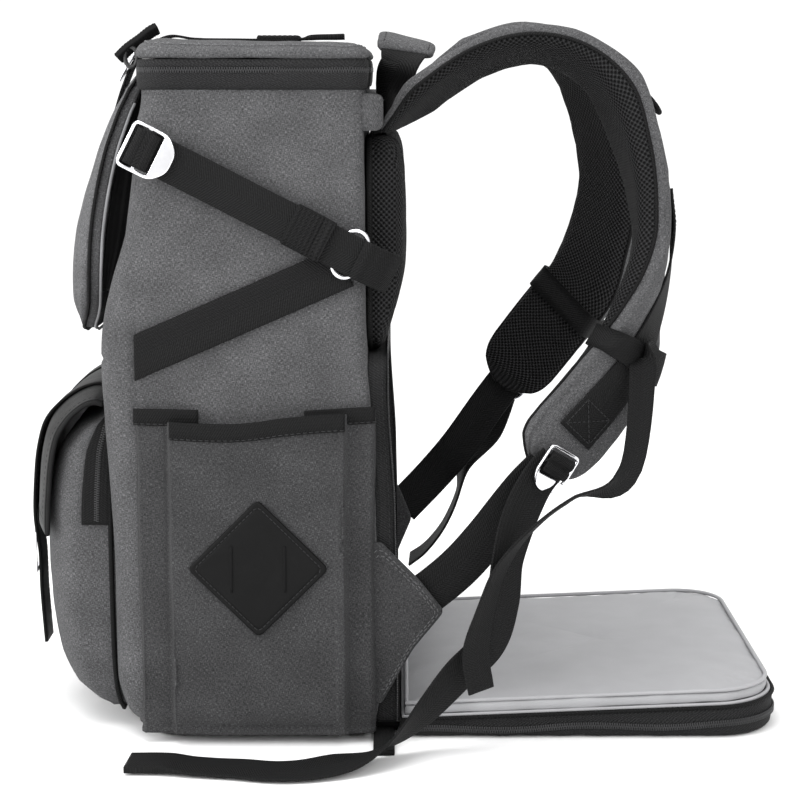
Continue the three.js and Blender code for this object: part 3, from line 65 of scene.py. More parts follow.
STITCH_RADIUS = 0.00042
FINE_STITCH_PITCH = 0.0034
STITCH_LIFT = 0.0001
TOOTH_PITCH = 0.0016
SIDES = ((1, "right"), (-1, "left"))


# Small helpers

def table(columns, *rows):
    """Rows of named values, under a line of column names."""
    return [dict(zip(columns.split(), row)) for row in rows]


def steps(low, high, count):
    return [low + (high - low) * i / count for i in range(count + 1)]


def turns(count):
    """Even angles once round."""
    return steps(0, 2 * math.pi, count)[:-1]


def signed_power(value, power):
    return math.copysign(abs(value) ** power, value)


def on_side(p, side):
    """A point of the right side, or for a side of -1 its mirror image on the left."""
    return Vector((side * p[0], p[1], p[2]))


def sided_rows(rows, side):
    """Rows of the right side, or their mirror image turned so that its faces still point out."""
    return [[on_side(p, side) for p in row[::side]] for row in rows]


def linked(name, data):
    """A new object in the scene."""
    obj = bpy.data.objects.new(name, data)
    bpy.context.scene.collection.objects.link(obj)
    return obj


# Materials

def shader(name, roughness, metallic=0.0, specular=0.5, sheen=0.0):
    """A new material and its principled shader."""
    material = bpy.data.materials.new(name)
    material.use_nodes = True
    bsdf = material.node_tree.nodes["Principled BSDF"]
    bsdf.inputs["Roughness"].default_value = roughness
    bsdf.inputs["Metallic"].default_value = metallic
    bsdf.inputs["Specular IOR Level"].default_value = specular
    bsdf.inputs["Sheen Weight"].default_value = sheen
    bsdf.inputs["Sheen Roughness"].default_value = 0.5
    return material, bsdf


def node(tree, kind, inputs=(), **settings):
    """A node of a tree with its settings, and its inputs linked or set in order."""
    new = tree.nodes.new(kind)
    for key, value in settings.items():
        setattr(new, key, value)
    for slot, value in enumerate(inputs):
        if value is None:
            continue
        if isinstance(value, bpy.types.NodeSocket):
            tree.links.new(value, new.inputs[slot])
        else:
            new.inputs[slot].default_value = value
    return new


def feed(bsdf, slot, output):
    bsdf.id_data.links.new(output, bsdf.inputs[slot])


def math_node(tree, operation, *inputs):
    return node(tree, "ShaderNodeMath", inputs, operation=operation).outputs[0]


def wave(tree, operation, value, pitch):
    """A sine or cosine of a place in millimetres."""
    return math_node(tree, operation, math_node(tree, "MULTIPLY", value, 2 * math.pi / pitch))


def cloth_coordinates(tree):
    """The cloth's own coordinates in millimetres, along and across the weave."""
    uv = node(tree, "ShaderNodeUVMap").outputs[0]
    scaled = node(tree, "ShaderNodeVectorMath", [uv], operation="SCALE")
    scaled.inputs["Scale"].default_value = 1000.0
    split = node(tree, "ShaderNodeSeparateXYZ", [scaled.outputs[0]])
    return scaled.outputs[0], split.outputs[0], split.outputs[1]


def stretched_noise(tree, vector, stretch, detail=2.0):
    """Noise in long streaks: stretch gives its rate along each axis, per millimetre."""
    mapped = node(tree, "ShaderNodeVectorMath", [vector, stretch], operation="MULTIPLY").outputs[0]
    return node(tree, "ShaderNodeTexNoise", [mapped, None, 1.0, detail]).outputs[0]


def colour_ramp(tree, value, stops):
    """A colour from a value, through (position, grey) stops."""
    ramp = node(tree, "ShaderNodeValToRGB", [value])
    elements = ramp.color_ramp.elements
    while len(elements) < len(stops):
        elements.new(0.5)
    for element, (position, grey) in zip(elements, stops):
        element.position = position
        element.color = (grey, grey, grey * 1.03, 1.0)
    return ramp.outputs[0]


def bump(tree, bsdf, height, strength, distance):
    new = node(tree, "ShaderNodeBump")
    tree.links.new(height, new.inputs["Height"])
    new.inputs["Strength"].default_value = strength
    new.inputs["Distance"].default_value = distance
    feed(bsdf, "Normal", new.outputs[0])


def canvas(name, grey):
    """Melange canvas: light and dark threads both ways, over a plain weave."""
    material, bsdf = shader(name, 0.92, specular=0.12, sheen=0.03)
    tree = material.node_tree
    vector, u, v = cloth_coordinates(tree)
    weft = stretched_noise(tree, vector, (0.5, 2.6, 1.0), 3.0)
    warp = stretched_noise(tree, vector, (2.6, 0.5, 1.0), 3.0)
    patches = stretched_noise(tree, vector, (0.03, 0.03, 1.0), 2.0)
    threads = math_node(tree, "ADD", weft, warp)
    mixed = math_node(tree, "MULTIPLY_ADD", threads, 0.5, 0.0)
    shaded = math_node(tree, "MULTIPLY_ADD", patches, 0.12, mixed)
    colour = colour_ramp(
        tree, shaded, [(0.38, grey * 0.35), (0.5, grey * 0.8), (0.6, grey * 1.4), (0.7, grey * 2.8)]
    )
    feed(bsdf, "Base Color", colour)
    weave = math_node(tree, "MULTIPLY", wave(tree, "SINE", u, 1.1), wave(tree, "SINE", v, 1.1))
    height = math_node(tree, "MULTIPLY_ADD", weave, 0.25, threads)
    bump(tree, bsdf, height, 0.55, 0.0006)
    return material


def webbing_material(name, grey):
    """Nylon webbing: fine slanting ribs that meet in the middle, and a little gloss."""
    material, bsdf = shader(name, 0.7, specular=0.14)
    tree = material.node_tree
    vector, u, v = cloth_coordinates(tree)
    slant = math_node(tree, "MULTIPLY_ADD", math_node(tree, "ABSOLUTE", u), 0.6, v)
    ribs = wave(tree, "SINE", slant, 1.7)
    cords = wave(tree, "SINE", u, 2.4)
    speck = stretched_noise(tree, vector, (1.2, 1.2, 1.0))
    height = math_node(tree, "MULTIPLY_ADD", cords, 0.4, ribs)
    lifted = math_node(tree, "MULTIPLY_ADD", height, 0.09, speck)
    colour = colour_ramp(tree, lifted, [(0.3, grey * 0.5), (0.5, grey), (0.72, grey * 1.9)])
    feed(bsdf, "Base Color", colour)
    bump(tree, bsdf, height, 0.5, 0.0004)
    return material


def air_mesh(name, grey):
    """Spacer mesh: round holes set in diamonds over a darker ground."""
    material, bsdf = shader(name, 0.85, specular=0.1)
    tree = material.node_tree
    _, u, v = cloth_coordinates(tree)
    down = wave(tree, "COSINE", math_node(tree, "ADD", u, v), 3.6)
    up = wave(tree, "COSINE", math_node(tree, "SUBTRACT", u, v), 3.6)
    cells = math_node(tree, "ADD", down, up)
    holes = math_node(tree, "SMOOTH_MIN", cells, 0.6, 0.4)
    value = math_node(tree, "MULTIPLY_ADD", cells, 0.25, 0.5)
    colour = colour_ramp(tree, value, [(0.0, grey * 2.0), (0.5, grey * 1.1), (0.72, grey * 0.06)])
    feed(bsdf, "Base Color", colour)
    bump(tree, bsdf, math_node(tree, "MULTIPLY", holes, -1.0), 0.9, 0.0009)
    return material


def smooth_cloth(name, grey, roughness=0.7, spread=1.25, specular=0.12):
    """Close plain cloth: a faint weave and soft shading."""
    material, bsdf = shader(name, roughness, specular=specular)
    tree = material.node_tree
    vector, _, _ = cloth_coordinates(tree)
    fine = stretched_noise(tree, vector, (1.6, 1.6, 1.0), 3.0)
    broad = stretched_noise(tree, vector, (0.04, 0.04, 1.0))
    value = math_node(tree, "MULTIPLY_ADD", broad, 0.5, math_node(tree, "MULTIPLY", fine, 0.5))
    colour = colour_ramp(tree, value, [(0.35, grey / spread), (0.65, grey * spread)])
    feed(bsdf, "Base Color", colour)
    bump(tree, bsdf, fine, 0.3, 0.0004)
    return material


def leather_material(name, grey):
    """Smooth black leather: fine pebbles, and worn, slightly lighter patches."""
    material, bsdf = shader(name, 0.5, specular=0.14)
    tree = material.node_tree
    vector, _, _ = cloth_coordinates(tree)
    pebbles = node(tree, "ShaderNodeTexVoronoi", [vector, None, 1.1]).outputs[0]
    broad = stretched_noise(tree, vector, (0.05, 0.05, 1.0), 3.0)
    colour = colour_ramp(tree, broad, [(0.3, grey * 0.7), (0.7, grey * 1.5)])
    feed(bsdf, "Base Color", colour)
    rough = math_node(tree, "MULTIPLY_ADD", broad, 0.2, 0.42)
    feed(bsdf, "Roughness", rough)
    bump(tree, bsdf, pebbles, 0.25, 0.0004)
    return material


def metal_material(name):
    material, bsdf = shader(name, 0.12, metallic=1.0)
    tree = material.node_tree
    place = node(tree, "ShaderNodeTexCoord").outputs["Object"]
    smears = node(tree, "ShaderNodeTexNoise", [place, None, 90.0, 3.0]).outputs[0]
    feed(bsdf, "Roughness", math_node(tree, "MULTIPLY_ADD", smears, 0.16, 0.05))
    colour = colour_ramp(tree, smears, [(0.3, 0.78), (0.7, 0.9)])
    feed(bsdf, "Base Color", colour)
    return material


CANVAS = canvas("canvas", 0.060)
CANVAS_LIGHT = canvas("canvas_light", 0.078)
POCKET_CANVAS = canvas("pocket_canvas", 0.034)
WEBBING = webbing_material("webbing", 0.0062)
BINDING = webbing_material("binding", 0.0052)
MESH = air_mesh("air_mesh", 0.020)
# near-black cloth; behind the front flap it is also painted shade, standing for the flap's shadow
BLACK = smooth_cloth("black_fabric", 0.006, 0.85)
ZIP_TAPE = webbing_material("zip_tape", 0.014)
LINING = smooth_cloth("lining", 0.335, 0.55, 1.05, 0.3)
LEATHER = leather_material("leather", 0.0022)
LEATHER_EDGE = leather_material("leather_edge", 0.006)
PIPING = smooth_cloth("piping", 0.20, 0.5)
METAL = metal_material("metal")
METAL_DARK = smooth_cloth("slider_metal", 0.02, 0.35, 1.1, 0.5)
THREAD = smooth_cloth("thread", 0.024, 0.6)
LIGHT_THREAD = smooth_cloth("light_thread", 0.09, 0.6)
TEETH = smooth_cloth("zip_teeth", 0.035, 0.35)


# Meshes

SETTLE_FRAMES = 20
SETTLE_PRESSURE = 4.0
grid_sizes = {}
softened = []


def new_object(name, vertices, faces, materials, uvs=None, face_materials=None):
    """A mesh object. uvs has one pair to each vertex of each face, in metres."""
    mesh = bpy.data.meshes.new(name)
    mesh.from_pydata([tuple(v) for v in vertices], [], faces)
    if not isinstance(materials, (list, tuple)):
        materials = [materials]
    for material in materials:
        mesh.materials.append(material)
    if uvs is None:
        box_project(mesh)
    else:
        layer = mesh.uv_layers.new(name="UVMap")
        layer.data.foreach_set("uv", [value for pair in uvs for value in pair])
    if face_materials:
        mesh.polygons.foreach_set("material_index", face_materials)
    mesh.polygons.foreach_set("use_smooth", [True] * len(mesh.polygons))
    mesh.update()
    return linked(name, mesh)


def box_project(mesh):
    """Cloth coordinates in metres from the two axes that each face turns its side to."""
    layer = mesh.uv_layers.get("UVMap") or mesh.uv_layers.new(name="UVMap")
    for polygon in mesh.polygons:
        normal = polygon.normal
        drop = max(range(3), key=lambda axis: abs(normal[axis]))
        keep = [axis for axis in range(3) if axis != drop]
        for loop in polygon.loop_indices:
            place = mesh.vertices[mesh.loops[loop].vertex_index].co
            layer.data[loop].uv = (place[keep[0]], place[keep[1]])


def grid(name, rows, materials, around=False, keep=None, face_material=None, caps=False,
         project=False):
    """A surface through rows of points. Cloth runs along the rows and from row to row."""
    count = len(rows[0])
    vertices = [p for row in rows for p in row]
    span = count if around else count - 1
    across = []
    for row in rows:
        run = [0.0]
        for c in range(span):
            run.append(run[-1] + (row[(c + 1) % count] - row[c]).length)
        middle = run[-1] / 2
        across.append([r - middle for r in run])
    along = [[0.0] * (span + 1)]
    for r in range(1, len(rows)):
        steps = [(rows[r][c % count] - rows[r - 1][c % count]).length for c in range(span + 1)]
        mean = sum(steps) / len(steps)
        along.append([value + mean for value in along[-1]])
    faces, uvs, slots = [], [], []
    for r in range(len(rows) - 1):
        for c in range(span):
            if keep and not keep(r, c):
                continue
            d = (c + 1) % count
            faces.append((r * count + c, r * count + d, (r + 1) * count + d, (r + 1) * count + c))
            for rr, cc in ((r, c), (r, c + 1), (r + 1, c + 1), (r + 1, c)):
                uvs.append((across[rr][cc], along[rr][cc]))
            slots.append(face_material(r, c) if face_material else 0)
    if caps:
        for r, turned in ((0, True), (len(rows) - 1, False)):
            middle = sum(rows[r], Vector()) / count
            vertices.append(middle)
            for c in range(span):
                a, b = r * count + c, r * count + (c + 1) % count
                faces.append((len(vertices) - 1, b, a) if turned else (len(vertices) - 1, a, b))
                for index in faces[-1]:
                    offset = Vector(vertices[index]) - middle
                    uvs.append((offset.x + offset.y, offset.z + offset.y))
                slots.append(face_material(r, c) if face_material else 0)
    grid_sizes[name] = (len(rows), count)
    return new_object(name, vertices, faces, materials, None if project else uvs, slots)


def soften(name, held, reach):
    """Lists a padded piece whose cloth is let round out; held(row, column) keeps a point still."""
    softened.append((bpy.data.objects[name], held, reach))


def let_cloth_settle():
    """Runs the padding's push on the listed pieces, and keeps each point near its place."""
    scene = bpy.context.scene
    for obj, held, _ in softened:
        row_count, column_count = grid_sizes[obj.name]
        group = obj.vertex_groups.new(name="held")
        still = [
            r * column_count + c for r in range(row_count) for c in range(column_count) if held(r, c)
        ]
        still += range(row_count * column_count, len(obj.data.vertices))
        group.add(still, 1.0, "REPLACE")
        cloth = obj.modifiers.new("cloth", "CLOTH")
        cloth.settings.quality = 4
        cloth.settings.mass = 0.3
        cloth.settings.use_pressure = True
        cloth.settings.uniform_pressure_force = SETTLE_PRESSURE
        cloth.settings.effector_weights.gravity = 0.0
        cloth.settings.vertex_group_mass = "held"
        cloth.collision_settings.use_collision = False
    for frame_number in range(1, SETTLE_FRAMES + 1):
        scene.frame_set(frame_number)
    graph = bpy.context.evaluated_depsgraph_get()
    settled = [[v.co.copy() for v in obj.evaluated_get(graph).data.vertices] for obj, *_ in softened]
    for (obj, _, reach), places in zip(softened, settled):
        obj.modifiers.remove(obj.modifiers["cloth"])
        obj.vertex_groups.clear()
        for vertex, spot in zip(obj.data.vertices, places):
            move = spot - vertex.co
            if move.length > 0:
                vertex.co += move * (reach * math.tanh(move.length / reach) / move.length)
        obj.data.update()
    scene.frame_set(1)


def displaced(rows, amount, around=False, sign=1.0):
    """The rows with each point moved along the surface's normal by amount(point)."""
    count = len(rows[0])
    moved = []
    for r, row in enumerate(rows):
        low, high = rows[max(0, r - 1)], rows[min(len(rows) - 1, r + 1)]
        new_row = []
        for c, point in enumerate(row):
            if around:
                before, after = row[c - 1], row[(c + 1) % count]
            else:
                before, after = row[max(0, c - 1)], row[min(count - 1, c + 1)]
            normal = (after - before).cross(high[c] - low[c])
            if normal.length > 1e-12:
                normal.normalize()
            new_row.append(point + normal * sign * amount(point))
        moved.append(new_row)
    return moved


def solid(obj, thickness):
    """Thickens a sheet inwards from its face."""
    modifier = obj.modifiers.new("thickness", "SOLIDIFY")
    modifier.thickness = thickness
    modifier.offset = -1.0
    modifier.use_even_offset = False
    return obj


def tube(name, points, radius, material, closed=False, sides=8):
    """A round tube along points, such as piping or a cord."""
    points = [Vector(p) for p in points]
    last = len(points) - 1
    rings = []
    side = None
    for i, point in enumerate(points):
        if closed:
            along = points[(i + 1) % len(points)] - points[i - 1]
        else:
            along = points[min(last, i + 1)] - points[max(0, i - 1)]
        along.normalize()
        if side is None:
            side = along.orthogonal().normalized()
        side = (side - along * side.dot(along)).normalized()
        up = along.cross(side)
        rings.append([
            point + (side * math.cos(a) + up * math.sin(a)) * radius
            for a in turns(sides)
        ])
    if closed:
        rings.append(rings[0])
    return grid(name, rings, material, around=True, caps=not closed)


def resample(points, pitch):
    """Points at an even pitch along a path, each with its direction."""
    points = [Vector(p) for p in points]
    out = []
    travelled, target = 0.0, pitch / 2
    for a, b in zip(points, points[1:]):
        length = (b - a).length
        while length > 0 and travelled + length >= target:
            out.append((a.lerp(b, (target - travelled) / length), (b - a).normalized()))
            target += pitch
        travelled += length
    return out


def many(name, places, shape, faces, material):
    """One mesh of many small copies: places holds (origin, along, out) for each."""
    vertices, polygons = [], []
    for origin, along, out in places:
        out = (out - along * out.dot(along)).normalized()
        across = out.cross(along)
        start = len(vertices)
        vertices += [origin + along * x + across * y + out * z for x, y, z in shape]
        polygons += [tuple(start + index for index in face) for face in faces]
    return new_object(name, vertices, polygons, material)


def stitch_shape(length, radius):
    """A short thread, pulled down at its ends."""
    shape, faces = [], []
    stations = [(-0.5, 0.35, -0.6), (-0.3, 0.9, 0.2), (0.3, 0.9, 0.2), (0.5, 0.35, -0.6)]
    sides = 6
    for x, wide, lift in stations:
        for a in turns(sides):
            shape.append((x * length, math.cos(a) * radius * wide, (math.sin(a) * wide + lift) * radius))
    for ring in range(len(stations) - 1):
        for s in range(sides):
            a, b = ring * sides + s, ring * sides + (s + 1) % sides
            faces.append((a, b, b + sides, a + sides))
    return shape, faces


STITCH, STITCH_FACES = stitch_shape(STITCH_LENGTH, STITCH_RADIUS)


def stitches(name, paths, material=THREAD, pitch=STITCH_PITCH):
    """Rows of stitches. paths holds (points, out) where out is a direction or one for each point."""
    places = []
    for points, out in paths:
        for origin, along in resample(points, pitch):
            facing = out(origin) if callable(out) else Vector(out)
            places.append((origin, along, facing))
    return many(name, places, STITCH, STITCH_FACES, material)


def tooth_shape(length, width, height):
    shape = [(sx * length / 2, sy * width / 2, 0) for sx in (-1, 1) for sy in (-1, 1)]
    shape += [(sx * length * 0.3, sy * width * 0.4, height) for sx in (-1, 1) for sy in (-1, 1)]
    faces = [(4, 6, 7, 5), (0, 2, 6, 4), (3, 1, 5, 7), (1, 0, 4, 5), (2, 3, 7, 6)]
    return shape, faces


def zip_teeth(name, points, out, width=0.0024):
    """Two rows of interlocking teeth along a path."""
    shape, faces = tooth_shape(TOOTH_PITCH * 0.75, width, 0.0009)
    places = []
    for index, (origin, along) in enumerate(resample(points, TOOTH_PITCH / 2)):
        facing = out(origin) if callable(out) else Vector(out)
        across = facing.cross(along).normalized()
        shift = width * 0.3 * (1 if index % 2 else -1)
        places.append((origin + across * shift, along, facing))
    return many(name, places, shape, faces, TEETH)


def from_cad(name, node_name, material, bevel):
    """A rounded copy of a hard node, with its corners eased."""
    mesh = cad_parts[node_name].data.copy()
    mesh.materials.clear()
    mesh.materials.append(material)
    box_project(mesh)
    obj = linked(name, mesh)
    modifier = obj.modifiers.new("eased", "BEVEL")
    modifier.width = bevel
    modifier.segments = 2
    modifier.angle_limit = math.radians(35)
    mesh.polygons.foreach_set("use_smooth", [False] * len(mesh.polygons))
    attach(obj, "root")
    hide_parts(node_name)
    return obj


def place(obj, *nodes, slot=None, pad=None):
    """Makes a piece ride on the bag and stand for its nodes."""
    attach(obj, "root")
    if nodes:
        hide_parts(*nodes)
    return obj


def ripple(point, size, depth):
    """Soft unevenness of about a size and depth."""
    return noise.noise(point / size) * depth


def cushion(name, rows, relief, material, *nodes, pad=None, sign=1.0, caps=True, project=False):
    """A piece with closed rows and uneven cloth, which stands for its nodes."""
    rows = displaced(rows, relief, around=True, sign=sign)
    return place(grid(name, rows, material, around=True, caps=caps, project=project), *nodes, pad=pad)


def filled(outline, shares, crown=Vector()):
    """Ever smaller copies of an outline that close it, the innermost raised by a crown."""
    centre = sum(outline, Vector()) / len(outline)
    return [[centre + (p - centre) * share + crown * (1 - share) for p in outline] for share in shares]


def groove(distance, width):
    """1 on a seam, falling off over a width."""
    return math.exp(-((distance / width) ** 2))


def smooth_step(value, low, high):
    t = min(1, max(0, (value - low) / (high - low)))
    return t * t * (3 - 2 * t)


def table_at(rows, column, key, value):
    """A smooth value of one column of a table, where another column has a value."""
    keys = [row[key] for row in rows]
    value = min(max(value, keys[0]), keys[-1])
    i = max(1, next(index for index, k in enumerate(keys) if k >= value))
    t = (value - keys[i - 1]) / (keys[i] - keys[i - 1])
    picks = [rows[max(0, i - 2)], rows[i - 1], rows[i], rows[min(len(rows) - 1, i + 1)]]
    a, b, c, d = (row[column] for row in picks)
    bend = (2 * a - 5 * b + 4 * c - d) * t ** 2 + (3 * b - a - 3 * c + d) * t ** 3
    return 0.5 * (2 * b + (c - a) * t + bend)


# Camera, floor and light
CAMERA_PLACE = (1.435, 0.106, 0.446)
CAMERA_TILT = 9.37  # degrees below level
CAMERA_LENS = 90
CAMERA_SENSOR = 36
FLOOR_HALF = 6.0
FLOOR_DROP = 0.0002
AMBIENT = 1.12
SOFTBOXES = table(
    "name place target size power",
    ("top_light", (0.4, -0.3, 2.0), (0.0, 0.0, 0.2), 1.4, 26),
    ("front_light", (1.0, -1.8, 1.0), (0.0, -0.05, 0.25), 1.1, 26),
    ("side_light", (2.0, 0.9, 1.3), (0.0, 0.0, 0.2), 1.0, 12),
)


def make_stage():
    camera = linked("camera", bpy.data.cameras.new("camera"))
    camera.location = CAMERA_PLACE
    camera.rotation_euler = (math.radians(90 - CAMERA_TILT), 0, math.radians(90))
    camera.data.lens = CAMERA_LENS
    camera.data.sensor_width = CAMERA_SENSOR
    bpy.context.scene.camera = camera

    corners = [(x * FLOOR_HALF, y * FLOOR_HALF, 0) for x, y in ((-1, -1), (1, -1), (1, 1), (-1, 1))]
    white, bsdf = shader("floor_white", 0.9, specular=0.1)
    bsdf.inputs["Base Color"].default_value = (0.95, 0.95, 0.95, 1)
    floor = new_object("floor", corners, [(0, 1, 2, 3)], white)
    floor.location.z = -FLOOR_DROP

    world = bpy.data.worlds.new("studio")
    bpy.context.scene.world = world
    world.use_nodes = True
    background = world.node_tree.nodes["Background"]
    background.inputs["Color"].default_value = (1, 1, 1, 1)
    background.inputs["Strength"].default_value = AMBIENT

    for row in SOFTBOXES:
        light = bpy.data.lights.new(row["name"], "AREA")
        light.size = row["size"]
        light.energy = row["power"]
        softbox = linked(row["name"], light)
        softbox.location = row["place"]
        facing = Vector(row["target"]) - Vector(row["place"])
        softbox.rotation_euler = facing.to_track_quat("-Z", "Y").to_euler()
    bpy.context.scene.view_settings.view_transform = "Standard"


make_stage()


# Main body
# Heights are shares of BODY_HEIGHT, front and back of HALF_DEPTH, side of HALF_WIDTH.
BODY_SECTIONS = table(
    "height front back side",
    (0, 0.733, 0.933, 0.925),
    (0.014, 0.8, 1, 0.966),
    (0.042, 0.889, 1.033, 0.988),
    (0.093, 0.956, 1.044, 1),
    (0.33, 0.967, 1.022, 1),
    (0.53, 1.015, 0.978, 1),
    (0.63, 1.025, 0.944, 1),
    (0.7, 0.965, 0.939, 0.997),
    (0.79, 0.833, 0.933, 0.993),
    (0.967, 0.733, 0.922, 0.979),
    (1, 0.706, 0.93, 0.972),
)


def body_at(column, z):
    return table_at(BODY_SECTIONS, column, "height", z / BODY_HEIGHT)


def body_front(z):
    return -body_at("front", z) * HALF_DEPTH


def body_back(z):
    return body_at("back", z) * HALF_DEPTH


def body_side(z):
    return body_at("side", z) * HALF_WIDTH


def ring(front, back, side, front_radius, back_radius, z, detail=1.0, split=None):
    """A level outline with rounded corners, anticlockwise from the right back corner."""
    arc = max(3, round(8 * detail))
    flank = max(4, round(56 * detail))
    wide = max(4, round(90 * detail))
    split = min(split or side * 0.9, side - back_radius)
    points = []

    def straight(x0, y0, x1, y1, count):
        for i in range(count):
            points.append(Vector((x0 + (x1 - x0) * i / count, y0 + (y1 - y0) * i / count, z)))

    def corner(x, y, radius, quarter):
        for i in range(arc):
            angle = (quarter + i / arc) * math.pi / 2
            points.append(Vector((x + radius * math.cos(angle), y + radius * math.sin(angle), z)))

    corner(side - back_radius, back - back_radius, back_radius, 0)
    straight(side - back_radius, back, split, back, 3)
    straight(split, back, -split, back, wide)
    straight(-split, back, -(side - back_radius), back, 3)
    corner(-(side - back_radius), back - back_radius, back_radius, 1)
    straight(-side, back - back_radius, -side, front + front_radius, flank)
    corner(-(side - front_radius), front + front_radius, front_radius, 2)
    straight(-(side - front_radius), front, side - front_radius, front, wide)
    corner(side - front_radius, front + front_radius, front_radius, 3)
    straight(side, front + front_radius, side, back - back_radius, flank)
    return points


SIDE_SEAM = -0.067
FRONT_SEAM = 0.258
SEAM_WIDTH = 0.0014
SEAM_DEPTH = 0.0013
BASE_SEAM = 0.010
LID_LIFT = 0.0035  # the stuffed lid and its band sit this much above their solids


def half_noise(p):
    """Noise from 0 to 1."""
    return 0.5 + 0.5 * noise.noise(p)


def body_relief(p):
    """Seams pulled in, and the cloth's soft unevenness, kept behind the flat outline."""
    depth = 0.0
    if abs(p.x) > HALF_WIDTH - FRONT_CORNER:
        depth -= SEAM_DEPTH * groove(p.y - SIDE_SEAM, SEAM_WIDTH)
        near = groove(p.y - SIDE_SEAM, 0.012)
        depth -= near * 0.0008 * half_noise(Vector((p.y * 40, p.z * 130, 2.0)))
    if p.y < SIDE_SEAM:
        depth -= SEAM_DEPTH * groove(p.z - FRONT_SEAM, SEAM_WIDTH)
    depth -= 0.0012 * groove(p.z - BASE_SEAM, SEAM_WIDTH)
    edge = min(p.z, BODY_HEIGHT - p.z)
    depth -= 0.0007 * groove(edge, 0.01) * half_noise(Vector((p.x * 90, p.y * 90, p.z * 20)))
    depth -= 0.0011 * half_noise(p / 0.055) + 0.0004 * half_noise(p / 0.02)
    return depth


def make_body():
    levels = sorted(
        set(steps(0, COMPARTMENT_FLOOR, 6) + steps(COMPARTMENT_FLOOR, COMPARTMENT_TOP, 82)
            + steps(COMPARTMENT_TOP, BODY_HEIGHT + LID_LIFT, 58))
    )
    rows = [
        ring(body_front(z), body_back(z), body_side(z), FRONT_CORNER, BACK_CORNER, z,
             split=min(COMPARTMENT_HALF, body_side(z) - BACK_CORNER - 0.0005))
        for z in levels
    ]
    arc, wide = 8, 90
    hole = range(arc + 3, arc + 3 + wide)

    def keep(r, c):
        inside = COMPARTMENT_FLOOR - 1e-6 < levels[r] and levels[r + 1] < COMPARTMENT_TOP + 1e-6
        return not (inside and c in hole)

    rows = displaced(rows, body_relief, around=True)
    body = grid("body_canvas", rows, CANVAS, around=True, keep=keep, project=True)
    place(body, "body_shell", pad=0.35)
    inner = [Vector((p.x * 0.5, p.y * 0.5, 0.0006)) for p in rows[0]]
    base = grid("base_panel", [rows[0], inner], BLACK, around=True, caps=True, project=True)
    place(base, slot="body_shell")


def make_inner_walls():
    """The bag's inside above the compartment, a plain open well."""
    low, high = COMPARTMENT_TOP + 0.012, BODY_HEIGHT + 0.018
    rows = [
        ring(body_front(min(z, BODY_HEIGHT)) + 0.004, body_back(min(z, BODY_HEIGHT)) - 0.004,
             body_side(min(z, BODY_HEIGHT)) - 0.004, FRONT_CORNER - 0.004, BACK_CORNER - 0.004, z, 0.3)
        for z in steps(low, high, 12)
    ]
    place(grid("upper_well", rows, LINING, around=True, project=True), slot="compartment_lining")


def inside_body(p, clear=0.004):
    """The point, drawn in where the bag's rounded front corners would cut it."""
    centre = Vector((math.copysign(HALF_WIDTH - FRONT_CORNER, p.x), body_front(p.z) + FRONT_CORNER, p.z))
    if abs(p.x) > abs(centre.x) and p.y < centre.y:
        away = p - centre
        reach = FRONT_CORNER - clear
        return centre + away * min(1.0, reach / max(away.length, 1e-6))
    return Vector((p.x, max(p.y, body_front(p.z) + clear), p.z))


def make_compartment():
    """Padded walls: each bulges a little between its corners, with a seam at the edges."""
    half = COMPARTMENT_HALF - GAP
    (_, front, _), (_, back, _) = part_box("compartment_lining")
    low, high = COMPARTMENT_FLOOR + GAP, COMPARTMENT_TOP - GAP
    depth = 0.0025

    def wall_point(start, side, up, inward, u, v):
        swell = (math.sin(math.pi * u) * math.sin(math.pi * v)) ** 0.35
        point = start + side * u + up * v
        return inside_body(point + inward * (0.0006 + depth * swell + ripple(point, 0.03, 0.0004)))

    corner = Vector((-half, front, low))
    across = Vector((2 * half, 0, 0))
    deep = Vector((0, back - front, 0))
    tall = Vector((0, 0, high - low))
    walls = [
        ("front", corner, across, tall, (0, 1, 0)),
        ("floor", corner, across, deep, (0, 0, 1)),
        ("ceiling", corner + tall, across, deep, (0, 0, -1)),
        ("left", corner, deep, tall, (1, 0, 0)),
        ("right", corner + across, deep, tall, (-1, 0, 0)),
    ]
    for name, start, side, up, inward in walls:
        rows = []
        for v in steps(0, 1, 24):
            rows.append([wall_point(start, side, up, Vector(inward), u, v) for u in steps(0, 1, 36)])
        piece = grid("compartment_" + name, rows, LINING, project=True)
        nodes = ["compartment_lining"] if name == "front" else []
        place(piece, *nodes, slot="compartment_lining", pad=0.6)
    seams = [
        [corner + tall + deep, corner + tall, corner + tall + across, corner + tall + across + deep],
        [corner + deep, corner, corner + across, corner + across + deep],
        [corner, corner + tall],
        [corner + across, corner + across + tall],
    ]
    centre = corner + across / 2 + deep / 2 + tall / 2
    for index, seam in enumerate(seams):
        inset = [inside_body(p + (centre - p) * 0.012, 0.0052) for p in seam]
        place(tube(f"compartment_piping_{index}", inset, 0.0012, LINING), slot="compartment_lining")


make_body()
make_inner_walls()
make_compartment()


# Lid and its zip band

def top_ring(inset, z):
    """The body's top outline, drawn in by an inset."""
    return ring(
        body_front(BODY_HEIGHT) + inset, body_back(BODY_HEIGHT) - inset, body_side(BODY_HEIGHT) - inset,
        max(0.002, FRONT_CORNER - inset), max(0.001, BACK_CORNER - inset), z, 0.7,
    )


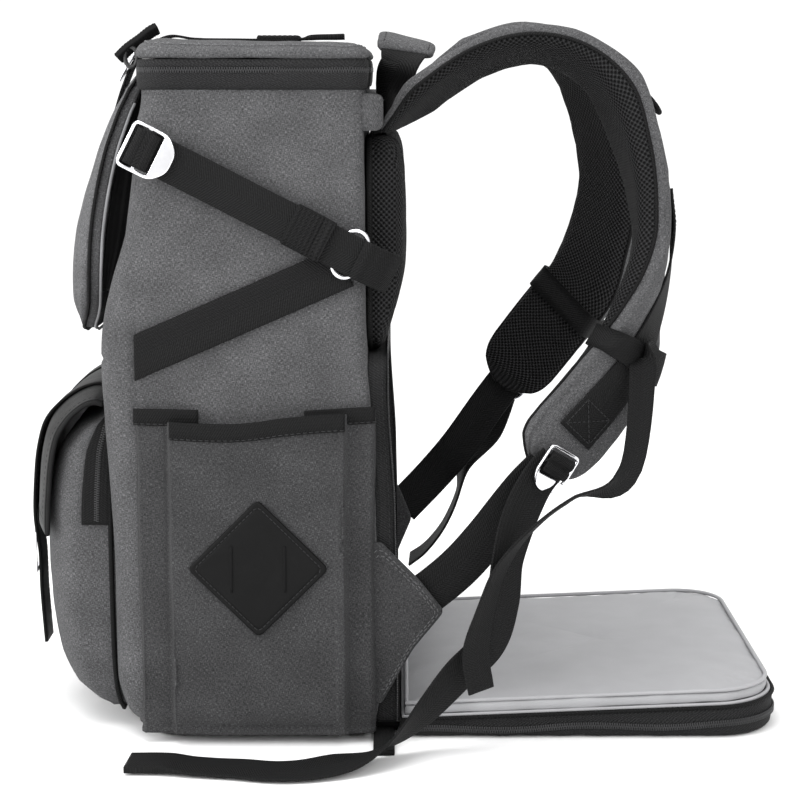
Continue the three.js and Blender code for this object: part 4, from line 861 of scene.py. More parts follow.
def make_zip_band():
    low, high = BODY_HEIGHT + LID_LIFT + GAP, LID_LOW[2] + LID_LIFT - GAP
    profile = [(0, 0.0002), (0.05, -0.0006), (0.2, -0.0012), (0.5, -0.0016), (0.56, -0.0016), (0.58, -0.0010),
               (0.68, -0.0010), (0.70, -0.0016), (0.85, -0.0014), (0.96, -0.0008), (1, 0.0002)]
    rows = [top_ring(inset, low + share * (high - low)) for share, inset in profile]
    cushion("lid_zip_cloth", rows, lambda p: ripple(p, 0.03, 0.0008), ZIP_TAPE, "lid_zip_band", caps=False)
    tooth_height = low + (high - low) * 0.63
    path = top_ring(-0.0009, tooth_height)
    teeth = zip_teeth("lid_zip_teeth", path + path[:1], outward)
    place(teeth, slot="lid_zip_band")


def outward(p):
    """Level direction out of the bag's side, square to the nearest face."""
    x, y = p.x / HALF_WIDTH, (p.y - 0.01) / (HALF_DEPTH * 0.83)
    if abs(x) > abs(y):
        return Vector((math.copysign(1, x), 0, 0))
    return Vector((0, math.copysign(1, y), 0))


def lid_height(x, y):
    """The lid's top: crowned across, and lower towards its back edge."""
    forward = (body_back(BODY_HEIGHT) - y) / (2 * HALF_DEPTH)
    crown = 1 - (x / HALF_WIDTH) ** 2
    front_fold = smooth_step(forward, 0.62, 0.9)
    return LID_LOW[2] + LID_LIFT + 0.0082 + 0.0024 * forward + 0.0030 * front_fold + 0.0012 * crown


LID_SECTIONS = [(0, 0.0), (0.12, -0.0016), (0.3, -0.0022), (0.5, -0.0016), (0.68, 0.0), (0.82, 0.0022),
                (0.92, 0.005), (0.98, 0.009), (1, 0.014), (1, 0.024), (1, 0.036), (1, 0.05), (1, 0.062)]


def make_lid():
    base = LID_LOW[2] + LID_LIFT
    rows = []
    for share, inset in LID_SECTIONS:
        flat = top_ring(inset, 0)
        rows.append([Vector((p.x, p.y, base + share * (lid_height(p.x, p.y) - base))) for p in flat])

    def relief(p):
        return ripple(p, 0.03, 0.0009) + ripple(p, 0.012, 0.0003)

    cushion("lid_canvas", rows, relief, CANVAS, "lid", pad=0.4, project=True)


make_zip_band()
make_lid()


# Strips along routes

def spline_point(points, u):
    """A centripetal curve through points at u from 0 to 1."""
    count = len(points)
    exact = u * (count - 1)
    i = min(count - 2, int(exact))
    t = exact - i
    p1, p2 = points[i], points[i + 1]
    p0 = points[i - 1] if i > 0 else 2 * p1 - p2
    p3 = points[i + 2] if i + 2 < count else 2 * p2 - p1
    d0, d1, d2 = (max(1e-5, (b - a).length) ** 0.5 for a, b in ((p0, p1), (p1, p2), (p2, p3)))
    m1 = ((p1 - p0) / d0 - (p2 - p0) / (d0 + d1) + (p2 - p1) / d1) * d1
    m2 = ((p2 - p1) / d1 - (p3 - p1) / (d1 + d2) + (p3 - p2) / d2) * d1
    return p1 + m1 * t + (3 * (p2 - p1) - 2 * m1 - m2) * t ** 2 + (2 * (p1 - p2) + m1 + m2) * t ** 3


def route_frames(stations, steps_each):
    """Frames along a route: place, along, out, across, width and thickness."""
    places = [Vector(s["place"]) for s in stations]
    acrosses = [Vector(s["across"]) for s in stations]
    total = (len(stations) - 1) * steps_each
    frames = []
    for i in range(total + 1):
        u = i / total
        exact = u * (len(stations) - 1)
        low = min(len(stations) - 2, int(exact))
        t = exact - low
        a, b = stations[low], stations[low + 1]
        along = (spline_point(places, min(1, u + 1e-4)) - spline_point(places, max(0, u - 1e-4))).normalized()
        wide = spline_point(acrosses, u).normalized()
        out = wide.cross(along).normalized()
        frames.append({
            "place": spline_point(places, u), "along": along, "out": out,
            "across": along.cross(out).normalized(),
            "width": a["width"] + (b["width"] - a["width"]) * t,
            "thick": a["thick"] + (b["thick"] - a["thick"]) * t,
        })
    return frames


def station(spot, across, width, thick=WEB_THICKNESS):
    return {"place": Vector(spot), "across": Vector(across), "width": width, "thick": thick}


HALF_SECTION = [(-1, -0.3), (-0.985, -0.8), (-0.95, -1), (-0.5, -1), (0, -1), (0.5, -1), (0.95, -1),
                (0.985, -0.8), (1, -0.3)]
WEB_SECTION = HALF_SECTION + [(-wide, -high) for wide, high in HALF_SECTION]


def section_point(f, wide, high, lift=0.0):
    return f["place"] + f["across"] * (wide * f["width"] / 2) + f["out"] * (high * f["thick"] / 2 + lift)


def strip(name, stations, material, steps_each=8, unevenness=0.0003):
    """Webbing along a route: rounded selvedges, its cloth coordinates centred on its width."""
    frames = route_frames(stations, steps_each)
    rows = []
    for f in frames:
        shift = ripple(f["place"], 0.02, unevenness)
        rows.append([section_point(f, wide, high, shift) for wide, high in WEB_SECTION])
    count = len(WEB_SECTION)
    vertices = [p for row in rows for p in row]
    faces, uvs = [], []
    travelled = [0.0]
    for a, b in zip(frames, frames[1:]):
        travelled.append(travelled[-1] + (b["place"] - a["place"]).length)
    for r in range(len(rows) - 1):
        for c in range(count):
            d = (c + 1) % count
            faces.append((r * count + c, r * count + d, (r + 1) * count + d, (r + 1) * count + c))
            for rr, cc in ((r, c), (r, d), (r + 1, d), (r + 1, c)):
                uvs.append((WEB_SECTION[cc][0] * frames[rr]["width"] / 2, travelled[rr]))
    for r in (0, len(rows) - 1):
        face = tuple(r * count + c for c in range(count))
        faces.append(face if r else face[::-1])
        uvs += [(0.0, 0.0)] * count
    return new_object(name, vertices, faces, material, uvs)


def cross_stitch_box(name, frames, start, end):
    """A sewn box with a cross in it, on a strip's outer face."""
    share = 1 - 0.003 / (frames[0]["width"] / 2)

    def at(index, wide):
        return section_point(frames[index], wide, 1.0, STITCH_LIFT)

    edges = [[at(i, wide) for i in range(start, end + 1)] for wide in (share, -share)]
    lines = [[at(a, -share), at(b, share)] for a, b in ((start, start), (end, end), (start, end))]
    lines.append([at(start, share), at(end, -share)])
    middle = frames[(start + end) // 2]["out"]
    return stitches(name, [(path, middle) for path in edges + lines], pitch=FINE_STITCH_PITCH)


# Front flap, its backing and the black throat behind it, which paints the flap's shadow on the bag (painted
# shade)
FLAP_TOP = LID_LOW[2] - 0.007
FLAP_HEIGHT = 0.174
FLAP_WIDTH = 0.236
FLAP_BULGE = 0.022
FLAP_BACKING = 0.008
THROAT_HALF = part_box("front_throat")[1][0]
THROAT_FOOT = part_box("front_throat")[0][2]
# drop is a share of FLAP_HEIGHT, stand of HALF_DEPTH, wide of FLAP_WIDTH and bulge of FLAP_BULGE
FLAP_ROUTE = table(
    "drop stand wide bulge",
    (0, 0.73, 0.86, 0.25),
    (0.05, 0.79, 0.92, 0.4),
    (0.14, 0.87, 0.96, 0.55),
    (0.27, 0.96, 0.98, 0.66),
    (0.42, 1.03, 1, 0.78),
    (0.57, 1.08, 1, 0.9),
    (0.7, 1.105, 0.98, 1),
    (0.82, 1.13, 0.9, 1),
    (0.88, 1.155, 0.8, 0.92),
    (0.93, 1.19, 0.70, 0.7),
    (0.97, 1.235, 0.57, 0.42),
    (1, 1.27, 0.42, 0.2),
    (1.03, 1.295, 0.16, 0.06),
)


def flap_point(drop, wide, out, behind=0.0):
    """A point of the flap: wide from -1 to 1, out a share of its bulge."""
    row = {key: table_at(FLAP_ROUTE, key, "drop", drop) for key in ("stand", "wide", "bulge")}
    return Vector((
        wide * row["wide"] * FLAP_WIDTH / 2,
        -row["stand"] * HALF_DEPTH - out * row["bulge"] * FLAP_BULGE + behind,
        FLAP_TOP - drop * FLAP_HEIGHT,
    ))


def dome(wide):
    """How full the flap is, from 1 along its middle to 0 at its edges."""
    return max(0.0, 1 - abs(wide) ** 3.2) ** 0.42


def flap_relief(p):
    return 0.0012 * noise.noise(p / 0.045) + 0.0004 * noise.noise(p / 0.014) - 0.0006


def make_flap():
    drops = steps(0, 0.8, 30) + steps(0.8, 1.03, 20)[1:]
    widths = [math.sin(math.pi / 2 * w) for w in steps(-1, 1, 44)]
    rows = [
        [flap_point(d, w, dome(w)) for w in widths]
        + [flap_point(d, w, 0, 0.0004) for w in reversed(steps(-0.98, 0.98, 8))]
        for d in drops
    ]
    cushion("flap_canvas", rows, flap_relief, CANVAS_LIGHT, "front_flap", pad=0.6, sign=-1)
    edge = [flap_point(d, -1, 0) for d in drops] + [flap_point(d, 1, 0) for d in reversed(drops)]
    place(tube("flap_piping", edge, 0.0012, BINDING), slot="front_flap")
    backing_edge = [p + Vector((0, FLAP_BACKING, 0)) for p in edge[4:-4]]
    place(tube("flap_backing_piping", backing_edge, 0.0010, PIPING), slot="flap_lining")


def flap_outline(inset):
    """Places (drop, wide) along the flap's edge, a share of the way out to it."""
    drops = steps(0.02, 0.955, 60)
    return [(d, -inset) for d in drops] + [(0.965, w) for w in steps(-inset, inset, 20)][1:-1] + [
        (d, inset) for d in reversed(drops)
    ]


def make_lid_piping():
    """Piping round the lid's settled top."""
    lid = bpy.data.objects["lid_canvas"]
    bpy.context.view_layer.update()
    edge = [
        lid.closest_point_on_mesh(Vector((p.x, p.y, lid_height(p.x, p.y))))[1] for p in top_ring(0.0040, 0)
    ]
    place(tube("lid_top_piping", edge, 0.0010, CANVAS_LIGHT, closed=True), slot="lid")


def make_flap_stitches():
    """Stitches laid on the flap's settled face."""
    flap = bpy.data.objects["flap_canvas"]
    bpy.context.view_layer.update()
    face = []
    for drop, wide in flap_outline(0.90):
        _, spot, normal, _ = flap.closest_point_on_mesh(flap_point(drop, wide, dome(wide)))
        face.append(spot + normal * STITCH_LIFT)
    place(stitches("flap_stitches", [(face, (0, -1, 0))], LIGHT_THREAD), slot="front_flap")


def make_flap_backing():
    drops = steps(0.005, 1.01, 46)
    section = [(-0.5, 0.02), (0, 0.02), (0.5, 0.02), (1, 0.06), (1, 0.5), (1, 0.94),
               (0.5, 1), (0, 1), (-0.5, 1), (-1, 0.94), (-1, 0.5), (-1, 0.06)]
    rows = [[flap_point(d, w * 0.985, 0, share * FLAP_BACKING) for w, share in section] for d in drops]
    cushion("flap_backing", rows, lambda p: ripple(p, 0.02, 0.0005), CANVAS, "flap_lining", pad=0.5)


def make_shadow_throat():
    """Black cloth in pleats between the flap and the bag, put where the flap's shadow falls: painted shade.
    """
    rows = []
    for z in steps(THROAT_FOOT, FLAP_TOP - 0.002, 40):
        drop = (FLAP_TOP - z) / FLAP_HEIGHT
        near = flap_point(drop, 0, 0, FLAP_BACKING + 0.0008).y
        far = max(near + 0.001, body_front(min(z, BODY_HEIGHT)) + 0.003)
        row = []
        for side, shares in ((1, steps(0, 1, 12)), (-1, steps(1, 0, 12))):
            for share in shares:
                pleat = 0.0035 * (1 - math.cos(4 * math.pi * share)) / 2
                row.append(Vector((side * (THROAT_HALF - pleat), near + (far - near) * share, z)))
        rows.append(row)
    # painted shade: near-black cloth where the flap casts its shadow on the bag's front
    cushion("flap_throat", rows, lambda p: ripple(p, 0.018, 0.0008), BLACK, "front_throat", sign=-1)


make_flap()
make_flap_backing()
make_shadow_throat()


# Front pocket, its side zip, leather flap, straps and buckles
FRONT_POCKET_FOOT = 0.012
FRONT_POCKET_HEIGHT = 0.206
FRONT_POCKET_TOP = FRONT_POCKET_FOOT + FRONT_POCKET_HEIGHT
FRONT_POCKET_HALF = 0.118
FRONT_POCKET_DEPTH = 0.055
FRONT_POCKET_BACK = body_front(BODY_HEIGHT * 0.33)
LEATHER_THICKNESS = 0.003
LEATHER_HALF = 0.113
FRONT_STRAP_WIDTH = 0.025
FRONT_STRAP_THICKNESS = 0.0022
FRONT_STRAP_OFFSET = 0.048
POCKET_ZIP_FOOT = 0.64  # shares of the front pocket's height
POCKET_ZIP_TOP = 0.985
POCKET_ZIP_LIFT = 0.0014
# height, out and wide are shares of the pocket's height, depth and half width
FRONT_POCKET_SECTIONS = table(
    "height out wide",
    (0, 0.2, 0.9),
    (0.03, 0.42, 0.95),
    (0.08, 0.68, 0.98),
    (0.17, 0.86, 1),
    (0.3, 0.95, 1),
    (0.5, 1, 1),
    (0.72, 0.96, 1),
    (0.88, 0.8, 0.98),
    (0.96, 0.5, 0.95),
    (1, 0.2, 0.9),
)


def pocket_at(column, height):
    return table_at(FRONT_POCKET_SECTIONS, column, "height", height)


def front_pocket_point(height, wide):
    """A point of the pocket's face, wide from -1 to 1."""
    out = pocket_at("out", height) * FRONT_POCKET_DEPTH
    forward = 0.45 + 0.55 * max(0.0, 1 - abs(wide) ** 3.5) ** 0.5
    return Vector((
        wide * pocket_at("wide", height) * FRONT_POCKET_HALF,
        FRONT_POCKET_BACK - out * forward,
        FRONT_POCKET_FOOT + height * FRONT_POCKET_HEIGHT,
    ))


def front_pocket_side(height, share, side):
    """A point of the pocket's side wall, share from the body to the face."""
    edge = front_pocket_point(height, side)
    inner = FRONT_POCKET_BACK + 0.005
    return Vector((edge.x, inner + (edge.y - inner) * share, edge.z))


def front_pocket_relief(p):
    slack = 1 - groove(p.z - 0.12, 0.09)
    return (
        -0.0007
        + 0.0019 * noise.noise(p / 0.05) * (0.4 + slack)
        + 0.0009 * noise.noise(Vector((p.x / 0.03, p.y / 0.03, p.z / 0.012))) * slack
        + 0.0003 * noise.noise(p / 0.012)
    )


def make_front_pocket():
    heights = steps(0, 0.12, 12) + steps(0.12, 0.86, 40)[1:] + steps(0.86, 1, 12)[1:]
    widths = [math.sin(math.pi / 2 * w) for w in steps(-1, 1, 64)]
    depths = steps(0, 1, 9)[:-1]
    rows = [
        [front_pocket_side(h, share, -1) for share in depths]
        + [front_pocket_point(h, w) for w in widths]
        + [front_pocket_side(h, share, 1) for share in reversed(depths)]
        for h in heights
    ]
    rows = displaced(rows, front_pocket_relief)
    place(grid("front_pocket_canvas", rows, CANVAS, caps=True), "front_pocket", pad=0.5)
    seam = [zip_point(h, 0.24, -1, 0.0008) for h in reversed(heights)]
    seam += [zip_point(h, 0.24, 1, 0.0008) for h in heights]
    place(tube("front_pocket_piping", seam, 0.0017, BINDING), slot="front_pocket")
    tape_heights = steps(POCKET_ZIP_FOOT, POCKET_ZIP_TOP, 30)
    for side, name in SIDES:
        shares = steps(0.25, 0.90, 10)[::side]
        tape = [[zip_point(h, share, side, 0.0011) for share in shares] for h in tape_heights]
        place(solid(grid("pocket_zip_tape_" + name, tape, BINDING), 0.001), slot="front_pocket")
        path = [zip_point(h, 0.55, side, POCKET_ZIP_LIFT) for h in steps(0.65, 0.97, 30)]
        place(zip_teeth("pocket_zip_teeth_" + name, path, (side, 0, 0)), slot="front_pocket")
        edges = [[zip_point(h, share, side, POCKET_ZIP_LIFT) for h in tape_heights] for share in (0.32, 0.87)]
        lines = stitches("pocket_zip_stitches_" + name, [(edge, (side, 0, 0)) for edge in edges])
        place(lines, slot="front_pocket")


def zip_point(height, share, side, lift):
    """A point that stands a little off the pocket's side wall."""
    return front_pocket_side(height, share, side) + Vector((side * lift, 0, 0))


# drop and out are shares of the front pocket's height and depth, over of the straps' lift
LEATHER_ROUTE = table(
    "drop out",
    (-0.045, 0.06),
    (-0.05, 0.22),
    (-0.035, 0.42),
    (0.01, 0.68),
    (0.07, 0.86),
    (0.16, 0.96),
    (0.27, 1.01),
    (0.38, 1.03),
)
STRAP_DROP_ROUTE = table(
    "drop out over",
    (-0.047, 0.13, 1),
    (-0.051, 0.24, 1),
    (-0.037, 0.44, 1),
    (0.008, 0.7, 1),
    (0.068, 0.88, 0.67),
    (0.16, 0.99, 0.33),
    (0.27, 1.04, 0),
    (0.38, 1.06, 0),
    (0.43, 1.05, 0),
    (0.52, 1.01, 0),
    (0.66, 1.0, 0),
    (0.84, 0.96, 0),
)
LEATHER_BASE = body_front(FRONT_POCKET_TOP)
STRAP_LIFT = LEATHER_THICKNESS + GAP + FRONT_STRAP_THICKNESS / 2


def leather_point(u, share):
    """A point of the leather's inner face: u from its hidden edge to its lip, share across."""
    places = [Vector((row["drop"], row["out"], 0)) for row in LEATHER_ROUTE]
    drop, out, _ = spline_point(places, u)
    fall = 0.3 * abs(share) ** 2.6 * min(1, out)
    return Vector((
        share * LEATHER_HALF,
        LEATHER_BASE - (out - fall) * FRONT_POCKET_DEPTH,
        FRONT_POCKET_TOP - drop * FRONT_POCKET_HEIGHT - abs(share) ** 2 * 0.004,
    ))


def make_leather_flap():
    inner = [[leather_point(u, share) for share in steps(-1, 1, 44)] for u in steps(0, 1, 40)]
    outer = displaced(inner, lambda p: LEATHER_THICKNESS + 0.0004 * noise.noise(p / 0.04), sign=-1)
    lip = []
    for a, b in zip(inner[-1], outer[-1]):
        lip.append(a.lerp(b, 0.5) + (b - a).cross(Vector((1, 0, 0))).normalized() * 0.0006)
    flap = grid("leather_flap", outer + [lip] + inner[::-1], LEATHER)
    place(solid(flap, 0.0002), "pocket_flap")
    path = [outer[r][2] for r in range(2, 38)] + outer[38][2:-2] + [outer[r][-3] for r in range(38, 1, -1)]
    place(stitches("leather_stitches", [(path, (0, -1, 0.4))]), slot="pocket_flap")
    edges = {
        "leather_edge_left": [(a[0], b[0]) for a, b in zip(inner, outer)],
        "leather_edge_right": [(a[-1], b[-1]) for a, b in zip(inner, outer)],
        "leather_lip": list(zip(inner[-1], outer[-1])),
    }
    for name, pairs in edges.items():
        edge = [a.lerp(b, 0.5) for a, b in pairs]
        place(tube(name, edge, LEATHER_THICKNESS * 0.52, LEATHER_EDGE), slot="pocket_flap")


def make_front_straps():
    stations = []
    for row in STRAP_DROP_ROUTE:
        forward = 0 if row["over"] == 1 else STRAP_LIFT * 0.35
        stations.append(station(
            (FRONT_STRAP_OFFSET, LEATHER_BASE - row["out"] * FRONT_POCKET_DEPTH - forward,
             FRONT_POCKET_TOP - row["drop"] * FRONT_POCKET_HEIGHT + row["over"] * STRAP_LIFT * 0.5),
            (1, 0, 0), FRONT_STRAP_WIDTH, FRONT_STRAP_THICKNESS,
        ))
    for side, name in SIDES:
        route = [dict(s, place=on_side(s["place"], side)) for s in stations]
        place(strip("front_strap_leather_" + name, route, LEATHER, unevenness=0.0), "front_strap_" + name)
        frames = route_frames(route, 8)
        for share, edge in ((-0.84, "in"), (0.84, "out")):
            path = [section_point(f, share, 1.0, STITCH_LIFT) for f in frames[24:-3]]
            line = stitches(f"front_strap_stitches_{name}_{edge}", [(path, (0, -1, 0))])
            place(line, slot="front_strap_" + name)
        from_cad("front_buckle_metal_" + name, "front_buckle_" + name, METAL, 0.0007)


make_front_pocket()
make_leather_flap()
make_front_straps()


# Side pockets, with a raised middle panel, bound edges and a leather lash patch
POCKET_FOOT = POCKET_LOW[2]
POCKET_TOP = POCKET_HIGH[2]
POCKET_FRONT = POCKET_LOW[1]
POCKET_BACK = POCKET_HIGH[1]
PANEL_FRONT = -0.045
PANEL_BACK = 0.071
PANEL_DEPTH = POCKET_HIGH[0] - HALF_WIDTH
FLANK_DEPTH = 0.004
PANEL_FOLD = 0.0018
BINDING_HEIGHT = 0.010
PATCH_DIAGONAL = 0.093
PATCH_SLOT = 0.031
PATCH_SLOT_SPACING = 0.035
PATCH_CORNER = 0.004
PATCH_FACE = 0.0021


def between(value, low, high, soft):
    """1 between low and high, easing to 0 over a width at both."""
    return smooth_step(value, low, low + soft) * (1 - smooth_step(value, high - soft, high))


def side_pocket_depth(y, z):
    """How far the side pocket stands from the body's flat side."""
    foot = 0.5 + 0.5 * smooth_step(z, POCKET_FOOT, POCKET_FOOT + 0.018)
    panel = between(y, PANEL_FRONT - PANEL_FOLD, PANEL_BACK + PANEL_FOLD, 2 * PANEL_FOLD)
    ends = between(y, POCKET_FRONT, POCKET_BACK, 0.003)
    return (FLANK_DEPTH * ends + (PANEL_DEPTH - FLANK_DEPTH) * panel) * foot - 0.0022 * (1 - ends)


def side_pocket_top(y):
    """The pocket's upper edge: the panel's middle sags below its flanks."""
    inside = between(y, PANEL_FRONT - 0.0042, PANEL_BACK + 0.0042, 0.0024)
    share = min(1, max(0, (y - PANEL_FRONT) / (PANEL_BACK - PANEL_FRONT)))
    sag = 0.0066 - 0.0052 * smooth_step(share, 0.35, 1.0) + 0.0016 * math.sin(math.pi * min(1, share * 1.6))
    return POCKET_TOP - inside * sag


def side_pocket_point(y, share, lift=0.0):
    z = POCKET_FOOT + share * (side_pocket_top(y) - POCKET_FOOT)
    return Vector((HALF_WIDTH + side_pocket_depth(y, z) + lift, y, z))


def side_pocket_relief(p):
    """Seams at the foot of each gusset, and the panel's slack unevenness."""
    depth = 0.0014 * noise.noise(Vector((p.x, p.y / 0.07, p.z / 0.1)))
    depth += 0.0005 * noise.noise(Vector((3.0, p.y / 0.02, p.z / 0.035)))
    return depth - 0.0004 - 0.0011 * groove(p.z - 0.0125, 0.0013)


def pocket_columns():
    """Places along the pocket, closest at the panel's folds."""
    front, back, near = PANEL_FRONT, PANEL_BACK, 0.006
    spans = [(POCKET_FRONT, front - near, 12), (front - near, front + near, 16),
             (front + near, back - near, 40), (back - near, back + near, 16), (back + near, POCKET_BACK, 10)]
    return sorted({y for span in spans for y in steps(*span)})


def make_side_pockets():
    ys = pocket_columns()
    shares = steps(0, 0.1, 10) + steps(0.1, 1, 70)[1:]
    rows = displaced([[side_pocket_point(y, share) for y in ys] for share in shares], side_pocket_relief)
    flank = HALF_WIDTH + FLANK_DEPTH + 0.0012
    spans = {
        "front": [Vector((flank, y, POCKET_TOP + 0.0012 - 0.02 * (y - POCKET_FRONT)))
                  for y in steps(POCKET_FRONT, -0.0255, 16)],
        "back": [Vector((flank, y, POCKET_TOP + 0.0025 - 0.06 * (POCKET_BACK - y)))
                 for y in steps(0.0435, POCKET_BACK, 16)],
        "panel": [side_pocket_point(y, 1, 0.0006) for y in ys if PANEL_FRONT < y < PANEL_BACK],
    }
    band = [(0.0011 * math.cos(a), BINDING_HEIGHT / 2 * signed_power(math.sin(a), 0.35)) for a in turns(14)]
    for side, name in SIDES:
        cloth = grid("side_pocket_canvas_" + name, sided_rows(rows, side), POCKET_CANVAS)
        place(solid(cloth, 0.0012), "side_pocket_" + name)
        lines = []
        for part, path in spans.items():
            tall = 1.22 if part == "panel" else 1.12
            middle = [p - Vector((0, 0, BINDING_HEIGHT / 2 - 0.0006)) for p in path]
            rings = []
            for p in middle:
                shift = 0.0003 * noise.noise(p / 0.01) - 0.0004
                rings.append([p + Vector((out + shift, 0, up * tall)) for out, up in reversed(band)])
            rings = sided_rows(rings, side)
            piece = grid(f"side_pocket_binding_{part}_{name}", rings, BINDING, around=True, caps=True)
            place(piece, "pocket_binding_" + name)
            under = Vector((0.0008, 0, -BINDING_HEIGHT * tall / 2 + 0.0012))
            lines.append(([on_side(p + under, side) for p in middle], (side, 0, 0)))
        place(stitches("side_pocket_binding_stitches_" + name, lines), slot="pocket_binding_" + name)
        seam = [on_side(side_pocket_point(y, 0.034, 0.0005), side) for y in ys[30:-28]]
        place(stitches("side_pocket_stitches_" + name, [(seam, (side, 0, 0))]), slot="side_pocket_" + name)


def patch_outline(half, radius):
    """A square on its corner with rounded corners, as (y, z) pairs."""
    points = []
    for corner in range(4):
        angle = corner * math.pi / 2
        centre = Vector((math.cos(angle), math.sin(angle))) * (half - radius * math.sqrt(2))
        for turn in steps(angle - math.pi / 4, angle + math.pi / 4, 7):
            points.append(centre + Vector((math.cos(turn), math.sin(turn))) * radius)
    return points


def make_patches():
    centre_y = (PANEL_FRONT + PANEL_BACK) / 2
    centre_z = POCKET_FOOT + (POCKET_TOP - POCKET_FOOT) * 0.53
    base = POCKET_HIGH[0] + GAP
    outline = patch_outline(PATCH_DIAGONAL / 2, PATCH_CORNER)
    layers = [(1.0, 0.0), (1.0, 0.0011), (0.985, 0.0017), (0.93, 0.0019), (0.915, 0.0014), (0.9, 0.0014),
              (0.885, 0.0018), (0.84, PATCH_FACE), (0.6, PATCH_FACE), (0.3, PATCH_FACE), (0.05, PATCH_FACE)]

    def line(share, out):
        return [Vector((base + out, centre_y + p.x * share, centre_z + p.y * share)) for p in outline]

    rows = [line(share, out) for share, out in layers]
    for side, name in SIDES:
        node_name = "lash_patch_" + name
        patch = grid("lash_patch_leather_" + name, sided_rows(rows, side), LEATHER, around=True, caps=True)
        place(patch, node_name)
        path = [on_side(p, side) for p in line(0.908, 0.0016)]
        paths = [(path + path[:1], (side, 0, 0))]
        edge = stitches("lash_patch_stitches_" + name, paths, pitch=FINE_STITCH_PITCH)
        place(edge, slot=node_name)
        for sign, which in ((-1, "front"), (1, "back")):
            y = centre_y + sign * PATCH_SLOT_SPACING / 2
            heights = steps(-PATCH_SLOT / 2, PATCH_SLOT / 2, 10)
            slit = [Vector((side * (base + PATCH_FACE), y, centre_z + z)) for z in heights]
            place(tube(f"lash_slot_{which}_{name}", slit, 0.0010, BLACK), slot=node_name)


make_side_pockets()
make_patches()


# Metal hardware
METAL_THICKNESS = 0.0024
BUCKLE_RIM = 0.0024
BUCKLE_CORNER = 0.005
BUCKLE_SLOT_CORNER = 0.0016
METAL_ROUNDING = 0.0008
RING_RADIUS = 0.016
RING_WIRE = 0.0016


def rounded(points, radius, count=5):
    """A flat outline with each corner rounded."""
    out = []
    total = len(points)
    for i, corner in enumerate(points):
        corner = Vector(corner)
        before, after = Vector(points[i - 1]), Vector(points[(i + 1) % total])
        reach = min(radius, (before - corner).length * 0.45, (after - corner).length * 0.45)
        a = corner + (before - corner).normalized() * reach
        b = corner + (after - corner).normalized() * reach
        for step in range(count + 1):
            t = step / count
            out.append(a * (1 - t) ** 2 + corner * 2 * t * (1 - t) + b * t ** 2)
    return out


def plate(name, outline, holes, thickness, bevel, matrix, material):
    """A flat plate with holes and rounded edges, its back on the matrix's level."""
    curve = bpy.data.curves.new(name, "CURVE")
    curve.dimensions = "2D"
    curve.fill_mode = "BOTH"
    for loop in [outline] + holes:
        spline = curve.splines.new("POLY")
        spline.points.add(len(loop) - 1)
        for point, (x, y) in zip(spline.points, loop):
            point.co = (x, y, 0, 1)
        spline.use_cyclic_u = True
    curve.extrude = thickness / 2 - bevel
    curve.bevel_depth = bevel
    curve.bevel_resolution = 3
    curve.offset = -bevel
    source = linked(name + "_outline", curve)
    mesh = bpy.data.meshes.new_from_object(source.evaluated_get(bpy.context.evaluated_depsgraph_get()))
    bpy.data.objects.remove(source)
    bpy.data.curves.remove(curve)
    mesh.materials.clear()
    mesh.materials.append(material)
    mesh.transform(matrix @ Matrix.Translation((0, 0, thickness / 2)))
    box_project(mesh)
    return linked(name, mesh)


def facing_matrix(spot, along, facing):
    out = facing.normalized()
    length = (along - out * along.dot(out)).normalized()
    across = out.cross(length)
    return Matrix.Translation(spot) @ Matrix((length, across, out)).transposed().to_4x4()


def buckle(name, web_width, spot, along, facing):
    """A flat frame with two slots and a nose, its bar across the strap."""
    rim = BUCKLE_RIM
    half = web_width / 2 + 0.0006 + rim
    slot = web_width * 0.33
    end = slot + rim * 1.5
    nose = web_width * 0.42
    outline = rounded([
        (-end, -half), (end, -half), (end + nose * 0.8, -half * 0.45), (end + nose * 0.8, half * 0.45),
        (end, half), (-end, half),
    ], BUCKLE_CORNER)
    holes = []
    for sign in (-1, 1):
        low, high = sorted((sign * rim / 2, sign * (rim / 2 + slot)))
        hole = [(low, rim - half), (high, rim - half), (high, half - rim), (low, half - rim)]
        holes.append(rounded(hole, BUCKLE_SLOT_CORNER))
    matrix = facing_matrix(spot, along, facing)
    return plate(name, outline, holes, METAL_THICKNESS, METAL_ROUNDING, matrix, METAL)


def buckle_rolls(name, web_width, spot, along, facing):
    """The strap where it passes over the buckle's bar: two soft folds between the rims."""
    matrix = facing_matrix(spot, along, facing)
    half, reach = web_width * 0.47, web_width * 0.31
    rows = []
    for y in steps(-half, half, 10):
        section = []
        for a in turns(32):
            x = math.cos(a) * reach
            fold = 0.0016 * abs(math.sin(math.pi * x / reach)) ** 0.6 if math.sin(a) > 0 else 0.0
            z = METAL_THICKNESS * 0.95 + math.sin(a) * METAL_ROUNDING + fold
            section.append(matrix @ Vector((x, y, z)))
        rows.append(section)
    return grid(name, rows, WEBBING, around=True, caps=True)


def sleeve(name, frames, wall, rib=0.0003, pitch=0.0036, material=WEBBING):
    """A ribbed keeper round a strap."""
    half = [(-1, -0.5), (-0.96, -1), (-0.5, -1), (0, -1), (0.5, -1), (0.96, -1), (1, -0.5)]
    section = half + [(-wide, -high) for wide, high in half]
    rows = []
    travelled = 0.0
    for i, f in enumerate(frames):
        travelled += (f["place"] - frames[i - 1]["place"]).length if i else 0
        ridge = rib * abs(math.sin(math.pi * travelled / pitch))
        ends = -wall * 0.8 if i in (0, len(frames) - 1) else 0.0
        wide = f["width"] / 2 + wall + ends
        high = f["thick"] / 2 + wall + ridge + ends
        rows.append([f["place"] + f["across"] * (w * wide) + f["out"] * (h * high) for w, h in section])
    return grid(name, rows, material, around=True, caps=True)


